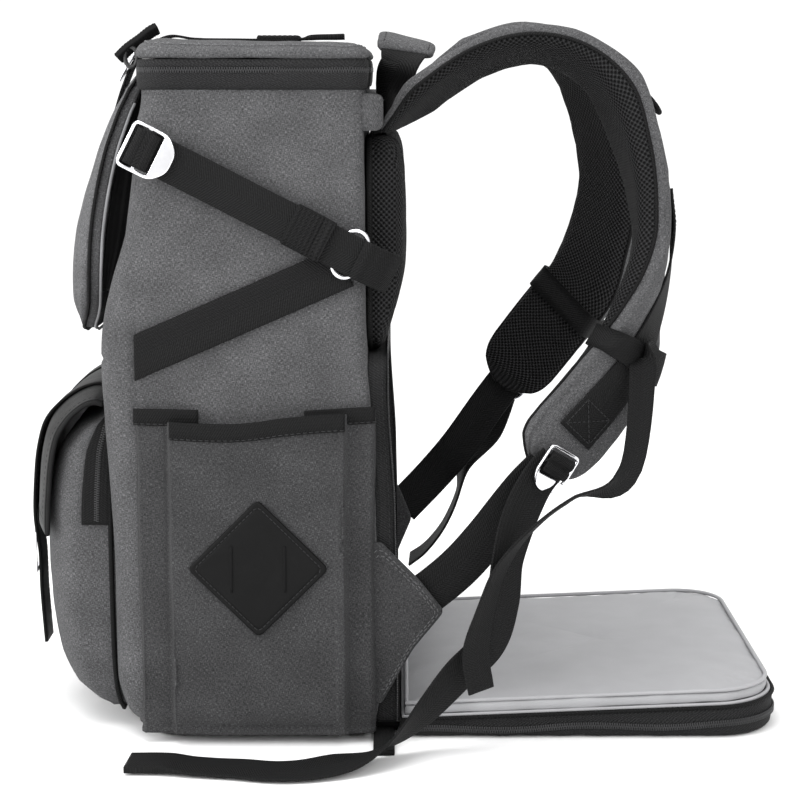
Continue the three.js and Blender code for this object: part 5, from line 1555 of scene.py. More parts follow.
# Side compression straps
SIDE_WEB_WIDTH = 0.026
START_REACH = 0.045  # the stretch over which the lower strap is drawn to the seam
SIDE_LAYER = HALF_WIDTH + GAP + WEB_THICKNESS / 2
CROSS_LAYER = SIDE_LAYER + WEB_THICKNESS + 2 * GAP + 0.0012
RING_LAYER = CROSS_LAYER - WEB_THICKNESS / 2 + RING_WIRE
OVER_RING = RING_LAYER + RING_WIRE + GAP + WEB_THICKNESS / 2
RING_Y = HALF_DEPTH * 0.82
RING_Z = BODY_HEIGHT * 0.765
UPPER_START = Vector((0, -HALF_DEPTH * 0.7, BODY_HEIGHT * 0.928))
LOWER_START = Vector((0, -HALF_DEPTH * 0.745, BODY_HEIGHT * 0.607))
UPPER_RUN = (Vector((0, RING_Y, RING_Z)) - UPPER_START).normalized()
UPPER_ACROSS = Vector((0, -UPPER_RUN.z, UPPER_RUN.y))
SIDE_BUCKLE_LAYER = CROSS_LAYER + WEB_THICKNESS / 2 + GAP
SIDE_BUCKLE_AT = Vector((SIDE_BUCKLE_LAYER, UPPER_START.y + 0.0045, UPPER_START.z - 0.003))


def along_upper(distance, x, thick=WEB_THICKNESS):
    spot = Vector((x, RING_Y, RING_Z)) + UPPER_RUN * distance
    return station(spot, UPPER_ACROSS, SIDE_WEB_WIDTH, thick)


def mirrored_stations(stations):
    """The same route on the left side. Its direction across turns round, so that out stays out."""
    return [dict(s, place=on_side(s["place"], -1), across=-on_side(s["across"], -1)) for s in stations]


def sided(stations, side):
    return stations if side > 0 else mirrored_stations(stations)


def make_side_straps():
    buckle_at = (SIDE_BUCKLE_AT - Vector((0, RING_Y, RING_Z))).dot(UPPER_RUN)
    over_bar = CROSS_LAYER + WEB_THICKNESS + METAL_THICKNESS + 2 * GAP
    r = RING_RADIUS
    upper = [along_upper(distance, x) for distance, x in (
        (buckle_at - 0.0115, CROSS_LAYER - 0.0012),
        (buckle_at - 0.0062, CROSS_LAYER + 0.0002),
        (buckle_at - 0.0022, over_bar - 0.0004),
        (buckle_at + 0.0022, over_bar - 0.0004),
        (buckle_at + 0.0062, CROSS_LAYER + 0.0002),
        (buckle_at + 0.0120, CROSS_LAYER),
        (-6.5 * r, CROSS_LAYER - 0.0012),
        (-5 * r, CROSS_LAYER - 0.0006),
        (-4 * r, CROSS_LAYER),
        (-1.6 * r, CROSS_LAYER),
        (-1.15 * r, OVER_RING - WEB_THICKNESS * 0.2),
        (-0.6 * r, OVER_RING),
        (0.5 * r, OVER_RING),
        (0.62 * r, OVER_RING - 0.0006),
    )]
    lower_end = Vector((0, RING_Y - r * 0.2, RING_Z - r * 0.5))
    run = (lower_end - LOWER_START).normalized()
    across = Vector((0, -run.z, run.y))
    lower = []
    for share, lift in ((0, 0), (0.2, 0.0003), (0.5, 0.0006), (0.8, 0.0003), (1, 0)):
        spot = Vector((SIDE_LAYER + lift, 0, 0)) + LOWER_START.lerp(lower_end, share)
        lower.append(station(spot, across, SIDE_WEB_WIDTH + 0.002))
    tab = [along_upper(turn * r, x, layers * WEB_THICKNESS) for turn, x, layers in (
        (0.33, OVER_RING + 0.0004, 2.6),
        (0.62, OVER_RING + 0.0006, 2.6),
        (0.85, OVER_RING, 1.6),
        (1.2, OVER_RING - 0.0012, 1),
        (1.6, SIDE_LAYER + WEB_THICKNESS, 1),
        (1.95, HALF_WIDTH - 2 * WEB_THICKNESS, 1),
    )]
    for side, name in SIDES:
        place(strip("side_web_upper_" + name, sided(upper, side), WEBBING, 6), "side_strap_upper_" + name)
        lower_web = strip("side_web_lower_" + name, sided(lower, side), WEBBING, 16)
        for vertex in lower_web.data.vertices:
            offset = vertex.co - LOWER_START
            gone = offset.dot(run)
            if gone < START_REACH:
                to_seam = (SIDE_SEAM - LOWER_START.y - across.y * offset.dot(across)) / run.y
                vertex.co += run * to_seam * (1 - gone / START_REACH)
        place(lower_web, "side_strap_lower_" + name)
        place(strip("side_web_tab_" + name, sided(tab, side), WEBBING, 6), "side_ring_tab_" + name)
        middle = Vector((side * CROSS_LAYER, RING_Y, RING_Z)) - UPPER_RUN * 0.030
        upper_frames = route_frames(sided(upper, side), 40)
        keeper_frames = [f for f in upper_frames if abs((f["place"] - middle).dot(UPPER_RUN)) < 0.014]
        place(sleeve("side_web_keeper_" + name, keeper_frames, 0.0012, 0.0010, 0.0034), "side_keeper_" + name)
        lower_frames = route_frames(sided(lower, side), 16)
        box = cross_stitch_box("side_web_stitches_" + name, lower_frames, 2, 12)
        place(box, slot="side_strap_lower_" + name)
        seat = (SIDE_WEB_WIDTH, on_side(SIDE_BUCKLE_AT, side), UPPER_RUN, Vector((side, 0, 0)))
        place(buckle_rolls("side_buckle_rolls_" + name, *seat), slot="side_strap_upper_" + name)
        place(buckle("side_buckle_metal_" + name, *seat), "side_buckle_" + name)
        ring_path = [
            Vector((side * RING_LAYER, RING_Y, RING_Z)) + UPPER_RUN * (r * 0.56 * math.cos(a))
            + UPPER_ACROSS * (r * signed_power(math.sin(a), 0.7))
            for a in turns(64)
        ]
        metal_ring = tube("side_ring_metal_" + name, ring_path, RING_WIRE, METAL, closed=True, sides=12)
        place(metal_ring, "side_ring_" + name)


make_side_straps()


# Yoke and grab handle
YOKE_LOW, YOKE_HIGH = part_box("yoke")
YOKE_BACK = YOKE_HIGH[1]
HANDLE_HALF = 0.045
HANDLE_RISE = 0.035
HANDLE_REACH = 0.017
HANDLE_WIDTH = 0.034
GRIP_THICKNESS = 0.0026
GRIP_START = 32  # frames along the handle that the grip leaves bare at each end


def make_yoke():
    foot, top = YOKE_LOW[2], YOKE_HIGH[2]
    front = body_back(foot) - 0.006
    outline = [(front, foot), (YOKE_BACK, foot), (YOKE_BACK, top - 0.002), (YOKE_BACK - 0.007, top),
               (front, top)]
    section = rounded(outline, 0.005, 6)[::-1]
    rows = [[Vector((x, y, z)) for y, z in section] for x in steps(YOKE_LOW[0], YOKE_HIGH[0], 90)]

    def relief(p):
        return ripple(p, 0.025, 0.0006) - 0.0008 * groove(YOKE_HIGH[0] - abs(p.x), 0.004)

    cushion("yoke_canvas", rows, relief, CANVAS, "yoke", pad=0.5)
    inset = 0.004
    for index, z in enumerate((foot + 0.0035, top - 0.0045)):
        places = steps(YOKE_LOW[0] + inset, YOKE_HIGH[0] - inset, 60)
        line = [Vector((x, YOKE_BACK + GAP, z)) for x in places]
        place(stitches(f"yoke_stitches_{index}", [(line, (0, 1, 0))]), slot="yoke")


def handle_stations():
    face = YOKE_BACK + GAP + WEB_THICKNESS / 2
    foot, top = YOKE_LOW[2], YOKE_HIGH[2]

    def leg(sign):
        stations = []
        for apart, reach, z, across, wide in (
            (0.68, 0, foot + 0.004, (1, 0, 0), 0.7),
            (0.74, 0.0015, top + 0.001, (0.8, 0.6, 0), 0.8),
            (1, HANDLE_REACH * 0.6, top + HANDLE_RISE * 0.55, (0.5, 1, 0), 0.85),
            (0.7, HANDLE_REACH * 0.85, top + HANDLE_RISE * 0.88, (0, 1, -0.2), 1),
        ):
            spot = on_side((HANDLE_HALF * apart, face + reach, z), sign)
            stations.append(station(spot, on_side(across, sign), HANDLE_WIDTH * wide))
        return stations

    crown = station((0, face + HANDLE_REACH * 0.9, top + HANDLE_RISE), (0, 1, -0.24), HANDLE_WIDTH)
    return leg(1) + [crown] + leg(-1)[::-1]


def make_handle():
    stations = handle_stations()
    place(strip("handle_web", stations, WEBBING, 8), "handle_strap")
    frames = route_frames(stations, 12)
    first, last = GRIP_START, len(frames) - 1 - GRIP_START

    def grip_point(f, a, wall):
        wide = signed_power(math.cos(a), 0.45) * (f["width"] / 2 + wall)
        high = signed_power(math.sin(a), 0.6) * (f["thick"] / 2 + wall)
        return f["place"] + f["across"] * wide + f["out"] * high

    rows = []
    for i in range(first, last + 1):
        end = min(i - first, last - i)
        middle = math.sin(math.pi * (i - first) / (last - first))
        wall = GRIP_THICKNESS * (0.35 + 0.65 * min(1, end / 2)) + 0.0008 * middle
        rows.append([grip_point(frames[i], a, wall) for a in turns(28)])
    cushion("handle_grip_canvas", rows, lambda p: ripple(p, 0.012, 0.0004), CANVAS, "handle_grip", pad=0.5)
    for edge, name in ((-1, "front"), (1, "back")):
        line = []
        for f in frames[first + 2:last - 1]:
            wide, high = f["width"] / 2 + GRIP_THICKNESS, f["thick"] / 2 + GRIP_THICKNESS
            line.append(f["place"] + f["across"] * wide * edge * 0.8 + f["out"] * high)
        place(stitches("handle_stitches_" + name, [(line, (0, 0, 1))]), slot="handle_grip")


make_yoke()
make_handle()


# Air mesh back pad
PAD_LOW, PAD_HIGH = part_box("back_pad")
BACK_PAD_DOME = 0.016
BACK_PAD_RADIUS = 0.030
BACK_PAD_SECTIONS = table(
    "out inset",
    (0, 0.1),
    (0.5, 0),
    (0.8, 0.25),
    (0.95, 0.8),
    (1, 1.6),
)


def back_pad_ring(inset, y):
    half_height = (PAD_HIGH[2] - PAD_LOW[2]) / 2
    middle = (PAD_HIGH[2] + PAD_LOW[2]) / 2
    radius = max(0.004, BACK_PAD_RADIUS - inset / 2)
    flat = ring(inset - half_height, half_height - inset, PAD_HIGH[0] - inset, radius, radius, 0, 0.75)
    return [Vector((p.x, y, middle + p.y)) for p in flat]


def make_back_pad():
    middle = (PAD_HIGH[2] + PAD_LOW[2]) / 2
    base = body_back(middle) + GAP
    thick = PAD_HIGH[1] - base
    outs = [0, 0.12, 0.25, 0.37, 0.5, 0.6, 0.7, 0.8, 0.87, 0.92, 0.96, 0.985, 1]
    rows = []
    for out in outs:
        inset = table_at(BACK_PAD_SECTIONS, "inset", "out", out) * BACK_PAD_DOME
        rows.append(back_pad_ring(inset, base + out * thick))
    rows += filled(rows[-1], steps(0.94, 0.06, 20), Vector((0, 0.0012, 0)))
    for row in rows:
        for p in row:
            p.z += 0.003 * smooth_step(p.z, PAD_HIGH[2] - 0.03, PAD_HIGH[2])
            p.y = base + (p.y - base) * (1 - 0.45 * (1 - smooth_step(p.z, PAD_LOW[2], PAD_LOW[2] + 0.06)))
    rows = [row[::-1] for row in rows]

    def relief(p):
        return ripple(p, 0.05, 0.0010) - 0.0002

    cushion("back_pad_mesh", rows, relief, MESH, "back_pad", pad=0.7, project=True)
    rim = back_pad_ring(0.0004, base + 0.0016)
    place(tube("back_pad_rim", rim, 0.0022, BINDING, closed=True), slot="back_pad")


make_back_pad()


# Rear opening's zip frame, hinge strip and door
FRAME_LOW, FRAME_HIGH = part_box("back_zip_frame")
DOOR_LOW, DOOR_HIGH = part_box("door_shell")
DOOR_HALF = DOOR_HIGH[0]
DOOR_START = DOOR_LOW[1]
DOOR_END = DOOR_HIGH[1]
DOOR_RADIUS = 0.044
FRAME_WALL = 0.0026
SHELL_HEIGHT = 0.013
SHELL_RISE = 0.011
DOOR_PAD_THICKNESS = 0.011
DOOR_TEETH_WIDTH = 0.0028
FRAME_TEETH_WIDTH = 0.0042
DOOR_ZIP_HEIGHT = 0.42  # a share of the shell's height


def frame_edge(back, z):
    """The tape's free edge, which leans in towards the top."""
    return back - 0.0004 + 0.0016 * (1 - smooth_step(z, 0.08, 0.16)) - 0.0045 * smooth_step(z, 0.15, 0.24)


def make_zip_frame():
    """A standing tape with wavy edges round the opening, and teeth along it."""
    x, back, foot, top = FRAME_HIGH[0], FRAME_HIGH[1], FRAME_LOW[2], FRAME_HIGH[2]
    corners = [(-x, foot - 0.001), (-x, foot), (-x, top), (x, top), (x, foot), (x, foot - 0.001)]
    path = [(-x, foot)] + rounded(corners, 0.012, 8)[6:-6] + [(x, foot)]
    spots = [p for p, _ in resample([Vector((a, 0, b)) for a, b in path], 0.004)]
    rows = []
    for p in spots:
        inward = Vector((-p.x / x, 0, 0)) if abs(p.x) > x - 0.002 else Vector((0, 0, -1))
        front = body_back(p.z) - 0.003
        edge = frame_edge(back, p.z) + 0.0004 * math.sin(p.z / 0.008)
        waviness = 0.0007 * math.sin(p.z / 0.011 * 2 + p.x / 0.013 * 2)
        section = [(0, 0), (0.4, 0.0006 + waviness), (0.8, 0.0004), (1, 0.0004), (1, FRAME_WALL),
                   (0.5, FRAME_WALL + waviness), (0, FRAME_WALL)]
        reach = edge - front
        rows.append([Vector((p.x, front + reach * share, p.z)) + inward * deep for share, deep in section])
    place(grid("back_zip_tape", rows, ZIP_TAPE, around=True, caps=True), "back_zip_frame")
    line = [Vector((p.x * 0.993, frame_edge(back, p.z) - 0.0004, p.z)) for p in spots]
    place(zip_teeth("back_zip_teeth", line, (0, 1, 0), FRAME_TEETH_WIDTH), slot="back_zip_frame")
    heights = steps(foot + 0.004, top - 0.014, 50)
    for side, name in SIDES:
        line = [Vector((side * (x + 0.0002), frame_edge(back, z) - 0.0036, z)) for z in heights]
        place(stitches("back_zip_stitches_" + name, [(line, (side, 0, 0))]), slot="back_zip_frame")


def shell_top(y):
    return SHELL_HEIGHT + SHELL_RISE * (y - DOOR_START) / (DOOR_END - DOOR_START)


def door_ring(inset, height_at):
    """The door's plan outline, square at its hinge and rounded at its free end."""
    side, end, start = DOOR_HALF - inset, DOOR_END - inset, DOOR_START + inset
    radius = max(0.004, DOOR_RADIUS - inset)
    inner_x, inner_y = side - radius, end - radius

    def line(x0, y0, x1, y1):
        return [(x0 + (x1 - x0) * i / 40, y0 + (y1 - y0) * i / 40) for i in range(40)]

    def corner(x, first):
        angles = steps(first, first + math.pi / 2, 20)[:-1]
        return [(x + radius * math.cos(a), inner_y + radius * math.sin(a)) for a in angles]

    points = line(side, start, side, inner_y) + corner(inner_x, 0)
    points += line(inner_x, end, -inner_x, end) + corner(-inner_x, math.pi / 2)
    points += line(-side, inner_y, -side, start) + line(-side, start, side, start)
    return [Vector((x, y, height_at(y))) for x, y in points]


DOOR_GUSSET = table(
    "inset height share",
    (0.006, 0, 0), (0.0024, 0.0008, 0), (0.0009, 0.0026, 0), (0.0004, 0, 0.3), (0, 0, 0.5),
    (0.0006, 0, 0.66), (0.0004, 0, 0.84), (0.0012, 0, 0.95), (0.0030, 0, 1),
)
DOOR_PAD_SECTIONS = [
    (0.005, 0.0), (0.0035, 0.06), (0.0028, 0.2), (0.0028, 0.45), (0.0032, 0.66), (0.0040, 0.80),
    (0.0062, 0.90), (0.0100, 0.965), (0.0150, 0.992), (0.0220, 1.0), (0.0320, 1.0),
]


def pad_ring(inset, rise):
    """An outline at a share of the door pad's thickness."""
    return door_ring(inset, lambda y: shell_top(y) + GAP + rise * DOOR_PAD_THICKNESS)


def gusset_relief(p):
    return 0.0006 * math.sin((p.x + p.y) / 0.0042) * noise.noise(p / 0.03) - 0.0004


def make_door():
    rows = []
    for row in DOOR_GUSSET:
        rows.append(door_ring(row["inset"], lambda y, row=row: row["height"] + row["share"] * shell_top(y)))
    cushion("door_gusset", rows, gusset_relief, ZIP_TAPE, "door_shell", pad=0.4)
    line = []
    for p in door_ring(-0.0002, lambda y: shell_top(y) * DOOR_ZIP_HEIGHT):
        if p.y > DOOR_START + 0.006:
            line.append(p + Vector((0, 0, 0.0012 * math.sin(p.x / 0.02 + p.y / 0.017))))
    start = line.index(min(line, key=lambda p: (p.y, -p.x)))
    teeth = zip_teeth("door_zip_teeth", line[start:] + line[:start], door_outward, DOOR_TEETH_WIDTH)
    place(teeth, slot="door_shell")
    bottom = door_ring(0.0004, lambda y: shell_top(y) * 0.97)
    place(tube("door_gusset_piping", bottom, 0.0014, BINDING, closed=True), slot="door_shell")

    rows = [pad_ring(inset + 0.0012, rise) for inset, rise in DOOR_PAD_SECTIONS]
    rows += filled(rows[-1], steps(0.92, 0.04, 22))
    cushion("door_pad_lining", rows, door_relief, LINING, "door_pad", pad=0.7, project=True)
    for inset, rise, name in ((0.0056, 0.86, "upper"), (0.0034, 0.02, "lower")):
        piping = tube("door_piping_" + name, pad_ring(inset, rise), 0.0015, LINING, closed=True)
        place(piping, slot="door_pad")


def door_outward(p):
    """Level direction out of the door's edge."""
    if p.y > DOOR_END - DOOR_RADIUS and abs(p.x) > DOOR_HALF - DOOR_RADIUS:
        centre = Vector((math.copysign(DOOR_HALF - DOOR_RADIUS, p.x), DOOR_END - DOOR_RADIUS, p.z))
        return (p - centre).normalized()
    if abs(p.x) > DOOR_HALF - 0.002:
        return Vector((math.copysign(1, p.x), 0, 0))
    return Vector((0, 1, 0))


def door_relief(p):
    edge = min(DOOR_HALF - abs(p.x), DOOR_END - p.y, p.y - DOOR_START)
    near = math.exp(-edge / 0.02)
    pucker = noise.noise(Vector((p.x / 0.016, p.y / 0.016, 4.0)))
    broad = noise.noise(Vector((p.x / 0.07, p.y / 0.05, 9.0)))
    return -0.0006 + 0.0012 * broad + 0.0011 * near * pucker


make_zip_frame()
make_door()
from_cad("hinge_cloth", "door_hinge", BLACK, 0.0006)


# Wings at the lower back corners
WING_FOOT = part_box("wing_right")[0][2]
WING_HEIGHT = 0.111
WING_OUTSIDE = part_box("wing_right")[1][0]
WING_THICKNESS = 0.004
WING_REACH = {"right": 0.042, "left": 0.022}


def make_wing(side, name):
    reach = WING_REACH[name]
    back = body_back(WING_FOOT)
    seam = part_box("wing_" + name)[0][1]
    corners = [(seam, 0), (seam, 1), (back, 1), (back + reach * 0.6, 0.77), (back + reach, 0.575),
               (back + reach * 0.5, 0.34), (back, 0)]
    shape = rounded([(y, WING_FOOT + share * WING_HEIGHT) for y, share in corners], 0.004)
    matrix = Matrix(((0, 0, 1, WING_OUTSIDE - WING_THICKNESS), (1, 0, 0, 0), (0, 1, 0, 0), (0, 0, 0, 1)))
    if side < 0:
        matrix = Matrix.Translation((-(2 * WING_OUTSIDE - WING_THICKNESS), 0, 0)) @ matrix
    wing = plate("wing_canvas_" + name, shape, [], WING_THICKNESS, 0.0014, matrix, POCKET_CANVAS)
    place(wing, "wing_" + name)
    face = [Vector((side * (WING_OUTSIDE + STITCH_LIFT), y, z)) for y, z in shape]
    rows = [(line[6:], (side, 0, 0)) for line in filled(face, (0.90, 0.83))]
    place(stitches("wing_stitches_" + name, rows, LIGHT_THREAD), slot="wing_" + name)


for wing_side, wing_name in SIDES:
    make_wing(wing_side, wing_name)


# Shoulder pads. Spread, reach and rise are shares of the sizes below, roll is in degrees
STRAP_SPREAD = 0.121
STRAP_REACH = 0.188
STRAP_END_HEIGHT = 0.185
PAD_THICKNESS = 0.015
PAD_WIDTH = 0.064
ROOT_HEIGHT = BODY_HEIGHT - 0.026
SHOULDER_WEB = 0.029
CHEST_WEB = 0.022
RIGHT_PAD_ROUTE = table(
    "spread reach rise roll wide fat",
    (0.65, -0.002, 0.985, 0, 0.78, 0.4),
    (0.65, 0.07, 1.045, 8, 0.9, 0.7),
    (0.65, 0.162, 1.115, 17, 1, 1),
    (0.65, 0.361, 1.228, 17, 1, 1),
    (0.68, 0.545, 1.27, 15, 1, 1),
    (0.71, 0.723, 1.235, 16, 1, 1),
    (0.75, 0.865, 1.14, 15, 1, 1),
    (0.78, 0.942, 0.977, 10, 1, 1),
    (0.805, 0.984, 0.826, 4, 1, 1),
    (0.83, 1, 0.708, -2, 1, 1),
    (0.845, 0.986, 0.58, -12, 1, 1),
    (0.865, 0.94, 0.434, -30, 0.98, 0.95),
    (0.9, 0.872, 0.3, -52, 0.95, 0.9),
    (0.95, 0.778, 0.187, -68, 0.92, 0.85),
    (0.985, 0.686, 0.096, -74, 0.9, 0.85),
    (1, 0.61, 0.028, -76, 0.84, 0.8),
    (1.005, 0.565, -0.012, -76, 0.5, 0.6),
)
LEFT_PAD_ROUTE = table(
    "spread reach rise roll wide fat",
    (0.65, -0.002, 0.985, 0, 0.78, 0.4),
    (0.65, 0.07, 1.045, -4, 0.9, 0.7),
    (0.65, 0.162, 1.13, -4, 1, 1),
    (0.65, 0.361, 1.265, -6, 1, 1),
    (0.68, 0.545, 1.3, -10, 1, 1),
    (0.71, 0.72, 1.262, -18, 1, 1),
    (0.75, 0.868, 1.14, -26, 1, 1),
    (0.78, 0.932, 0.977, -31, 1, 1),
    (0.805, 0.958, 0.826, -32, 1, 1),
    (0.83, 0.945, 0.7, -33, 1, 1),
    (0.845, 0.908, 0.58, -38, 1, 1),
    (0.865, 0.845, 0.45, -50, 0.98, 0.95),
    (0.9, 0.75, 0.35, -60, 0.95, 0.9),
    (0.95, 0.67, 0.26, -68, 0.92, 0.85),
    (0.985, 0.6, 0.18, -72, 0.9, 0.85),
    (1, 0.54, 0.115, -74, 0.82, 0.8),
    (1.005, 0.505, 0.075, -74, 0.5, 0.6),
)
BACK_FACE = body_back(ROOT_HEIGHT)
PAD_START = 6  # the first frame that lies clear of the yoke


def pad_place(row):
    return Vector((
        row["spread"] * STRAP_SPREAD,
        BACK_FACE + row["reach"] * STRAP_REACH + PAD_THICKNESS / 2,
        STRAP_END_HEIGHT + row["rise"] * (ROOT_HEIGHT - STRAP_END_HEIGHT),
    ))


def pad_stations(route, width=None, thick=None):
    places = [pad_place(row) for row in route]
    stations = []
    for i, row in enumerate(route):
        along = (places[min(i + 1, len(places) - 1)] - places[max(i - 1, 0)]).normalized()
        level = Vector((1, 0, 0))
        out = level.cross(along).normalized()
        roll = math.radians(row["roll"])
        across = level * math.cos(roll) + out * math.sin(roll)
        stations.append(
            station(places[i], across, width or row["wide"] * PAD_WIDTH, thick or row["fat"] * PAD_THICKNESS)
        )
    return stations


def pad_section():
    """A pad's section, from its outer face round to its inner one: a full, soft-cornered oblong."""
    return [(signed_power(math.cos(a), 0.42), signed_power(math.sin(a), 0.62)) for a in turns(48)]


def pad_relief(wide, high):
    """Seams pressed in along the outer face's edges."""
    seam = groove(abs(wide) - 0.8, 0.05) if high > 0 else 0.0
    return -0.0009 * seam


def inner_fullness(f):
    """How much further the foam stands on the body's side, low on the strap."""
    low = smooth_step(f["place"].z, 0.20, 0.30) * (1 - smooth_step(f["place"].z, 0.43, 0.47))
    return 0.0095 * low * smooth_step(f["place"].y, 0.17, 0.20)


def pad_point(f, wide, high, tip=1.0):
    p = section_point(f, wide * tip, high * (0.55 + 0.45 * tip))
    return p + f["out"] * min(0.0, high) * inner_fullness(f)


def tip_shares(frames):
    """A share of the width for each frame, so that the pad's foot is round."""
    shares = []
    left = 0.0
    for index in range(len(frames) - 1, -1, -1):
        if index < len(frames) - 1:
            left += (frames[index]["place"] - frames[index + 1]["place"]).length
        inside = max(0.0, 1 - left / (frames[index]["width"] * 0.42))
        shares.append(max(0.3, math.sqrt(max(0.0, 1 - inside ** 2))))
    return shares[::-1]


def make_shoulder_pad(route, name):
    frames = route_frames(pad_stations(route), 16)
    tips = tip_shares(frames)
    section = pad_section()
    rows = []
    for f, tip in zip(frames, tips):
        row = []
        for wide, high in section:
            p = pad_point(f, wide, high, tip)
            normal = (f["across"] * wide * 0.4 + f["out"] * high).normalized()
            lift = pad_relief(wide, high) + 0.0008 * noise.noise(p / 0.03) + 0.0003 * noise.noise(p / 0.011)
            row.append(p + normal * lift)
        rows.append(row)
    rows, frames, tips = rows[PAD_START:], frames[PAD_START:], tips[PAD_START:]
    side = -1 if name == "left" else 1
    highs = [high for _, high in section[::side]]

    def material_at(r, c):
        """Canvas outside, and mesh on the side of the body."""
        return 0 if highs[c] + highs[(c + 1) % len(highs)] > -0.55 else 1

    pad = grid("shoulder_pad_cloth_" + name, sided_rows(rows, side), [CANVAS, MESH], around=True, caps=True,
               face_material=material_at)
    place(pad, "shoulder_pad_" + name, pad=0.7)
    for edge, word in ((-1, "inner"), (1, "outer")):
        path = [on_side(pad_point(f, edge, -0.275, tip), side) for f, tip in zip(frames, tips)]
        place(tube(f"shoulder_binding_{word}_{name}", path, 0.0013, BINDING), slot="shoulder_pad_" + name)


make_shoulder_pad(RIGHT_PAD_ROUTE, "right")
make_shoulder_pad(LEFT_PAD_ROUTE, "left")


# Webbing, loops, buckles and tails of the shoulder straps
FACE_WEB_START = 8
FACE_WEB_END = 15
FACE_WEB_LIFT = PAD_THICKNESS / 2 + WEB_THICKNESS / 2 + GAP
LOOP_ROW = 11.5
LOOP_WALL = 0.0022
LOOP_STEPS = 5  # frames between two rows of the pad's route
LOOP_CORNER = 0.009
LOOP_EASE = 0.0012
BUCKLE_HANG = Vector((0.1, -0.47, -0.88))
BUCKLE_FACING = Vector((0.555, 0.678, -0.299))
BUCKLE_SHIFT = Vector((0.003, 0.001, -0.004))


def make_face_web(route, name):
    stations = pad_stations(route, SHOULDER_WEB, WEB_THICKNESS)[FACE_WEB_START:FACE_WEB_END]
    lifted = []
    for index, (f, s) in enumerate(zip(route_frames(stations, 1), stations)):
        thinner = (1 - route[FACE_WEB_START + index]["fat"]) * PAD_THICKNESS / 2
        lift = FACE_WEB_LIFT + (0.0003 if index else 0) - thinner + GAP
        lifted.append(dict(s, place=s["place"] + f["out"] * lift))
    if name == "left":
        lifted = mirrored_stations(lifted)
    node_name = "face_web_" + name
    place(strip("face_webbing_" + name, lifted, WEBBING, 9), node_name)
    frames = route_frames(lifted, 9)
    place(cross_stitch_box("face_web_stitches_top_" + name, frames, 1, 8), slot=node_name)
    foot = cross_stitch_box("face_web_stitches_foot_" + name, frames, len(frames) - 9, len(frames) - 2)
    place(foot, slot=node_name)


def make_chest_loop(route, name):
    """A loop of webbing round the pad, over the face webbing."""
    frames = route_frames(pad_stations(route), LOOP_STEPS)
    middle = round(LOOP_ROW * LOOP_STEPS)
    chosen = frames[middle - 1:middle + 3]
    over = 2 * WEB_THICKNESS + 0.0004
    rows = []
    for index, f in enumerate([chosen[0]] * 2 + chosen + [chosen[-1]] * 2):
        shrink = LOOP_EASE if index in (0, 7) else 0.0
        grow = LOOP_WALL - shrink - 0.0006
        half = f["width"] / 2 + grow
        low = -f["thick"] / 2 - grow - inner_fullness(f)
        high = f["thick"] / 2 + over + grow
        section = rounded([(-half, low), (half, low), (half, high), (-half, high)], LOOP_CORNER, 6)
        rows.append([f["place"] + f["across"] * a + f["out"] * b for a, b in section])
    rows = sided_rows(rows, -1 if name == "left" else 1)
    place(grid("chest_loop_web_" + name, rows, WEBBING, around=True, caps=True), "chest_loop_" + name)


def lower_web_stations(route, reach, layer):
    frames = route_frames(pad_stations(route), 2)
    end = frames[-2]
    lift = PAD_THICKNESS * 0.4 + 2 * GAP + WEB_THICKNESS / 2
    start = end["place"] + end["out"] * lift
    tip = Vector((layer, body_back(WING_FOOT) + reach * 0.6, WING_FOOT + WING_HEIGHT * 0.64))
    sag = Vector((0, 0, -0.03 * STRAP_REACH))
    across = (0, -0.7, 0.72)
    late = start.lerp(tip, 0.7) + sag
    late.x = layer
    return [
        station(start, end["across"], SHOULDER_WEB),
        station(start + end["along"] * SHOULDER_WEB * 0.7, end["across"], SHOULDER_WEB),
        station(start.lerp(tip, 0.45) + sag, across, SHOULDER_WEB),
        station(late, across, SHOULDER_WEB),
        station(tip, across, SHOULDER_WEB),
    ]


BEHIND_WING = WING_OUTSIDE - WING_THICKNESS - GAP - WEB_THICKNESS / 2
ON_WING = WING_OUTSIDE + 2 * GAP + WEB_THICKNESS / 2
RIGHT_WEB = lower_web_stations(RIGHT_PAD_ROUTE, WING_REACH["right"], BEHIND_WING)
LEFT_WEB = lower_web_stations(LEFT_PAD_ROUTE, WING_REACH["left"], ON_WING)


def buckle_seat(stations, lift):
    seat_frame = route_frames(stations, 2)[0]
    facing = seat_frame["out"] if seat_frame["out"].x > 0 else -seat_frame["out"]
    spot = seat_frame["place"] + facing * lift - seat_frame["along"] * SHOULDER_WEB * 0.3
    return seat_frame, facing, spot


def tail_start(stations):
    lift = WEB_THICKNESS + 5 * GAP + METAL_THICKNESS
    seat_frame, _, spot = buckle_seat(stations, lift)
    places = [spot + seat_frame["along"] * share * SHOULDER_WEB for share in (0, 0.5)]
    return [station(p, seat_frame["across"], SHOULDER_WEB * 0.9) for p in places]


TAIL_REACH = 0.080
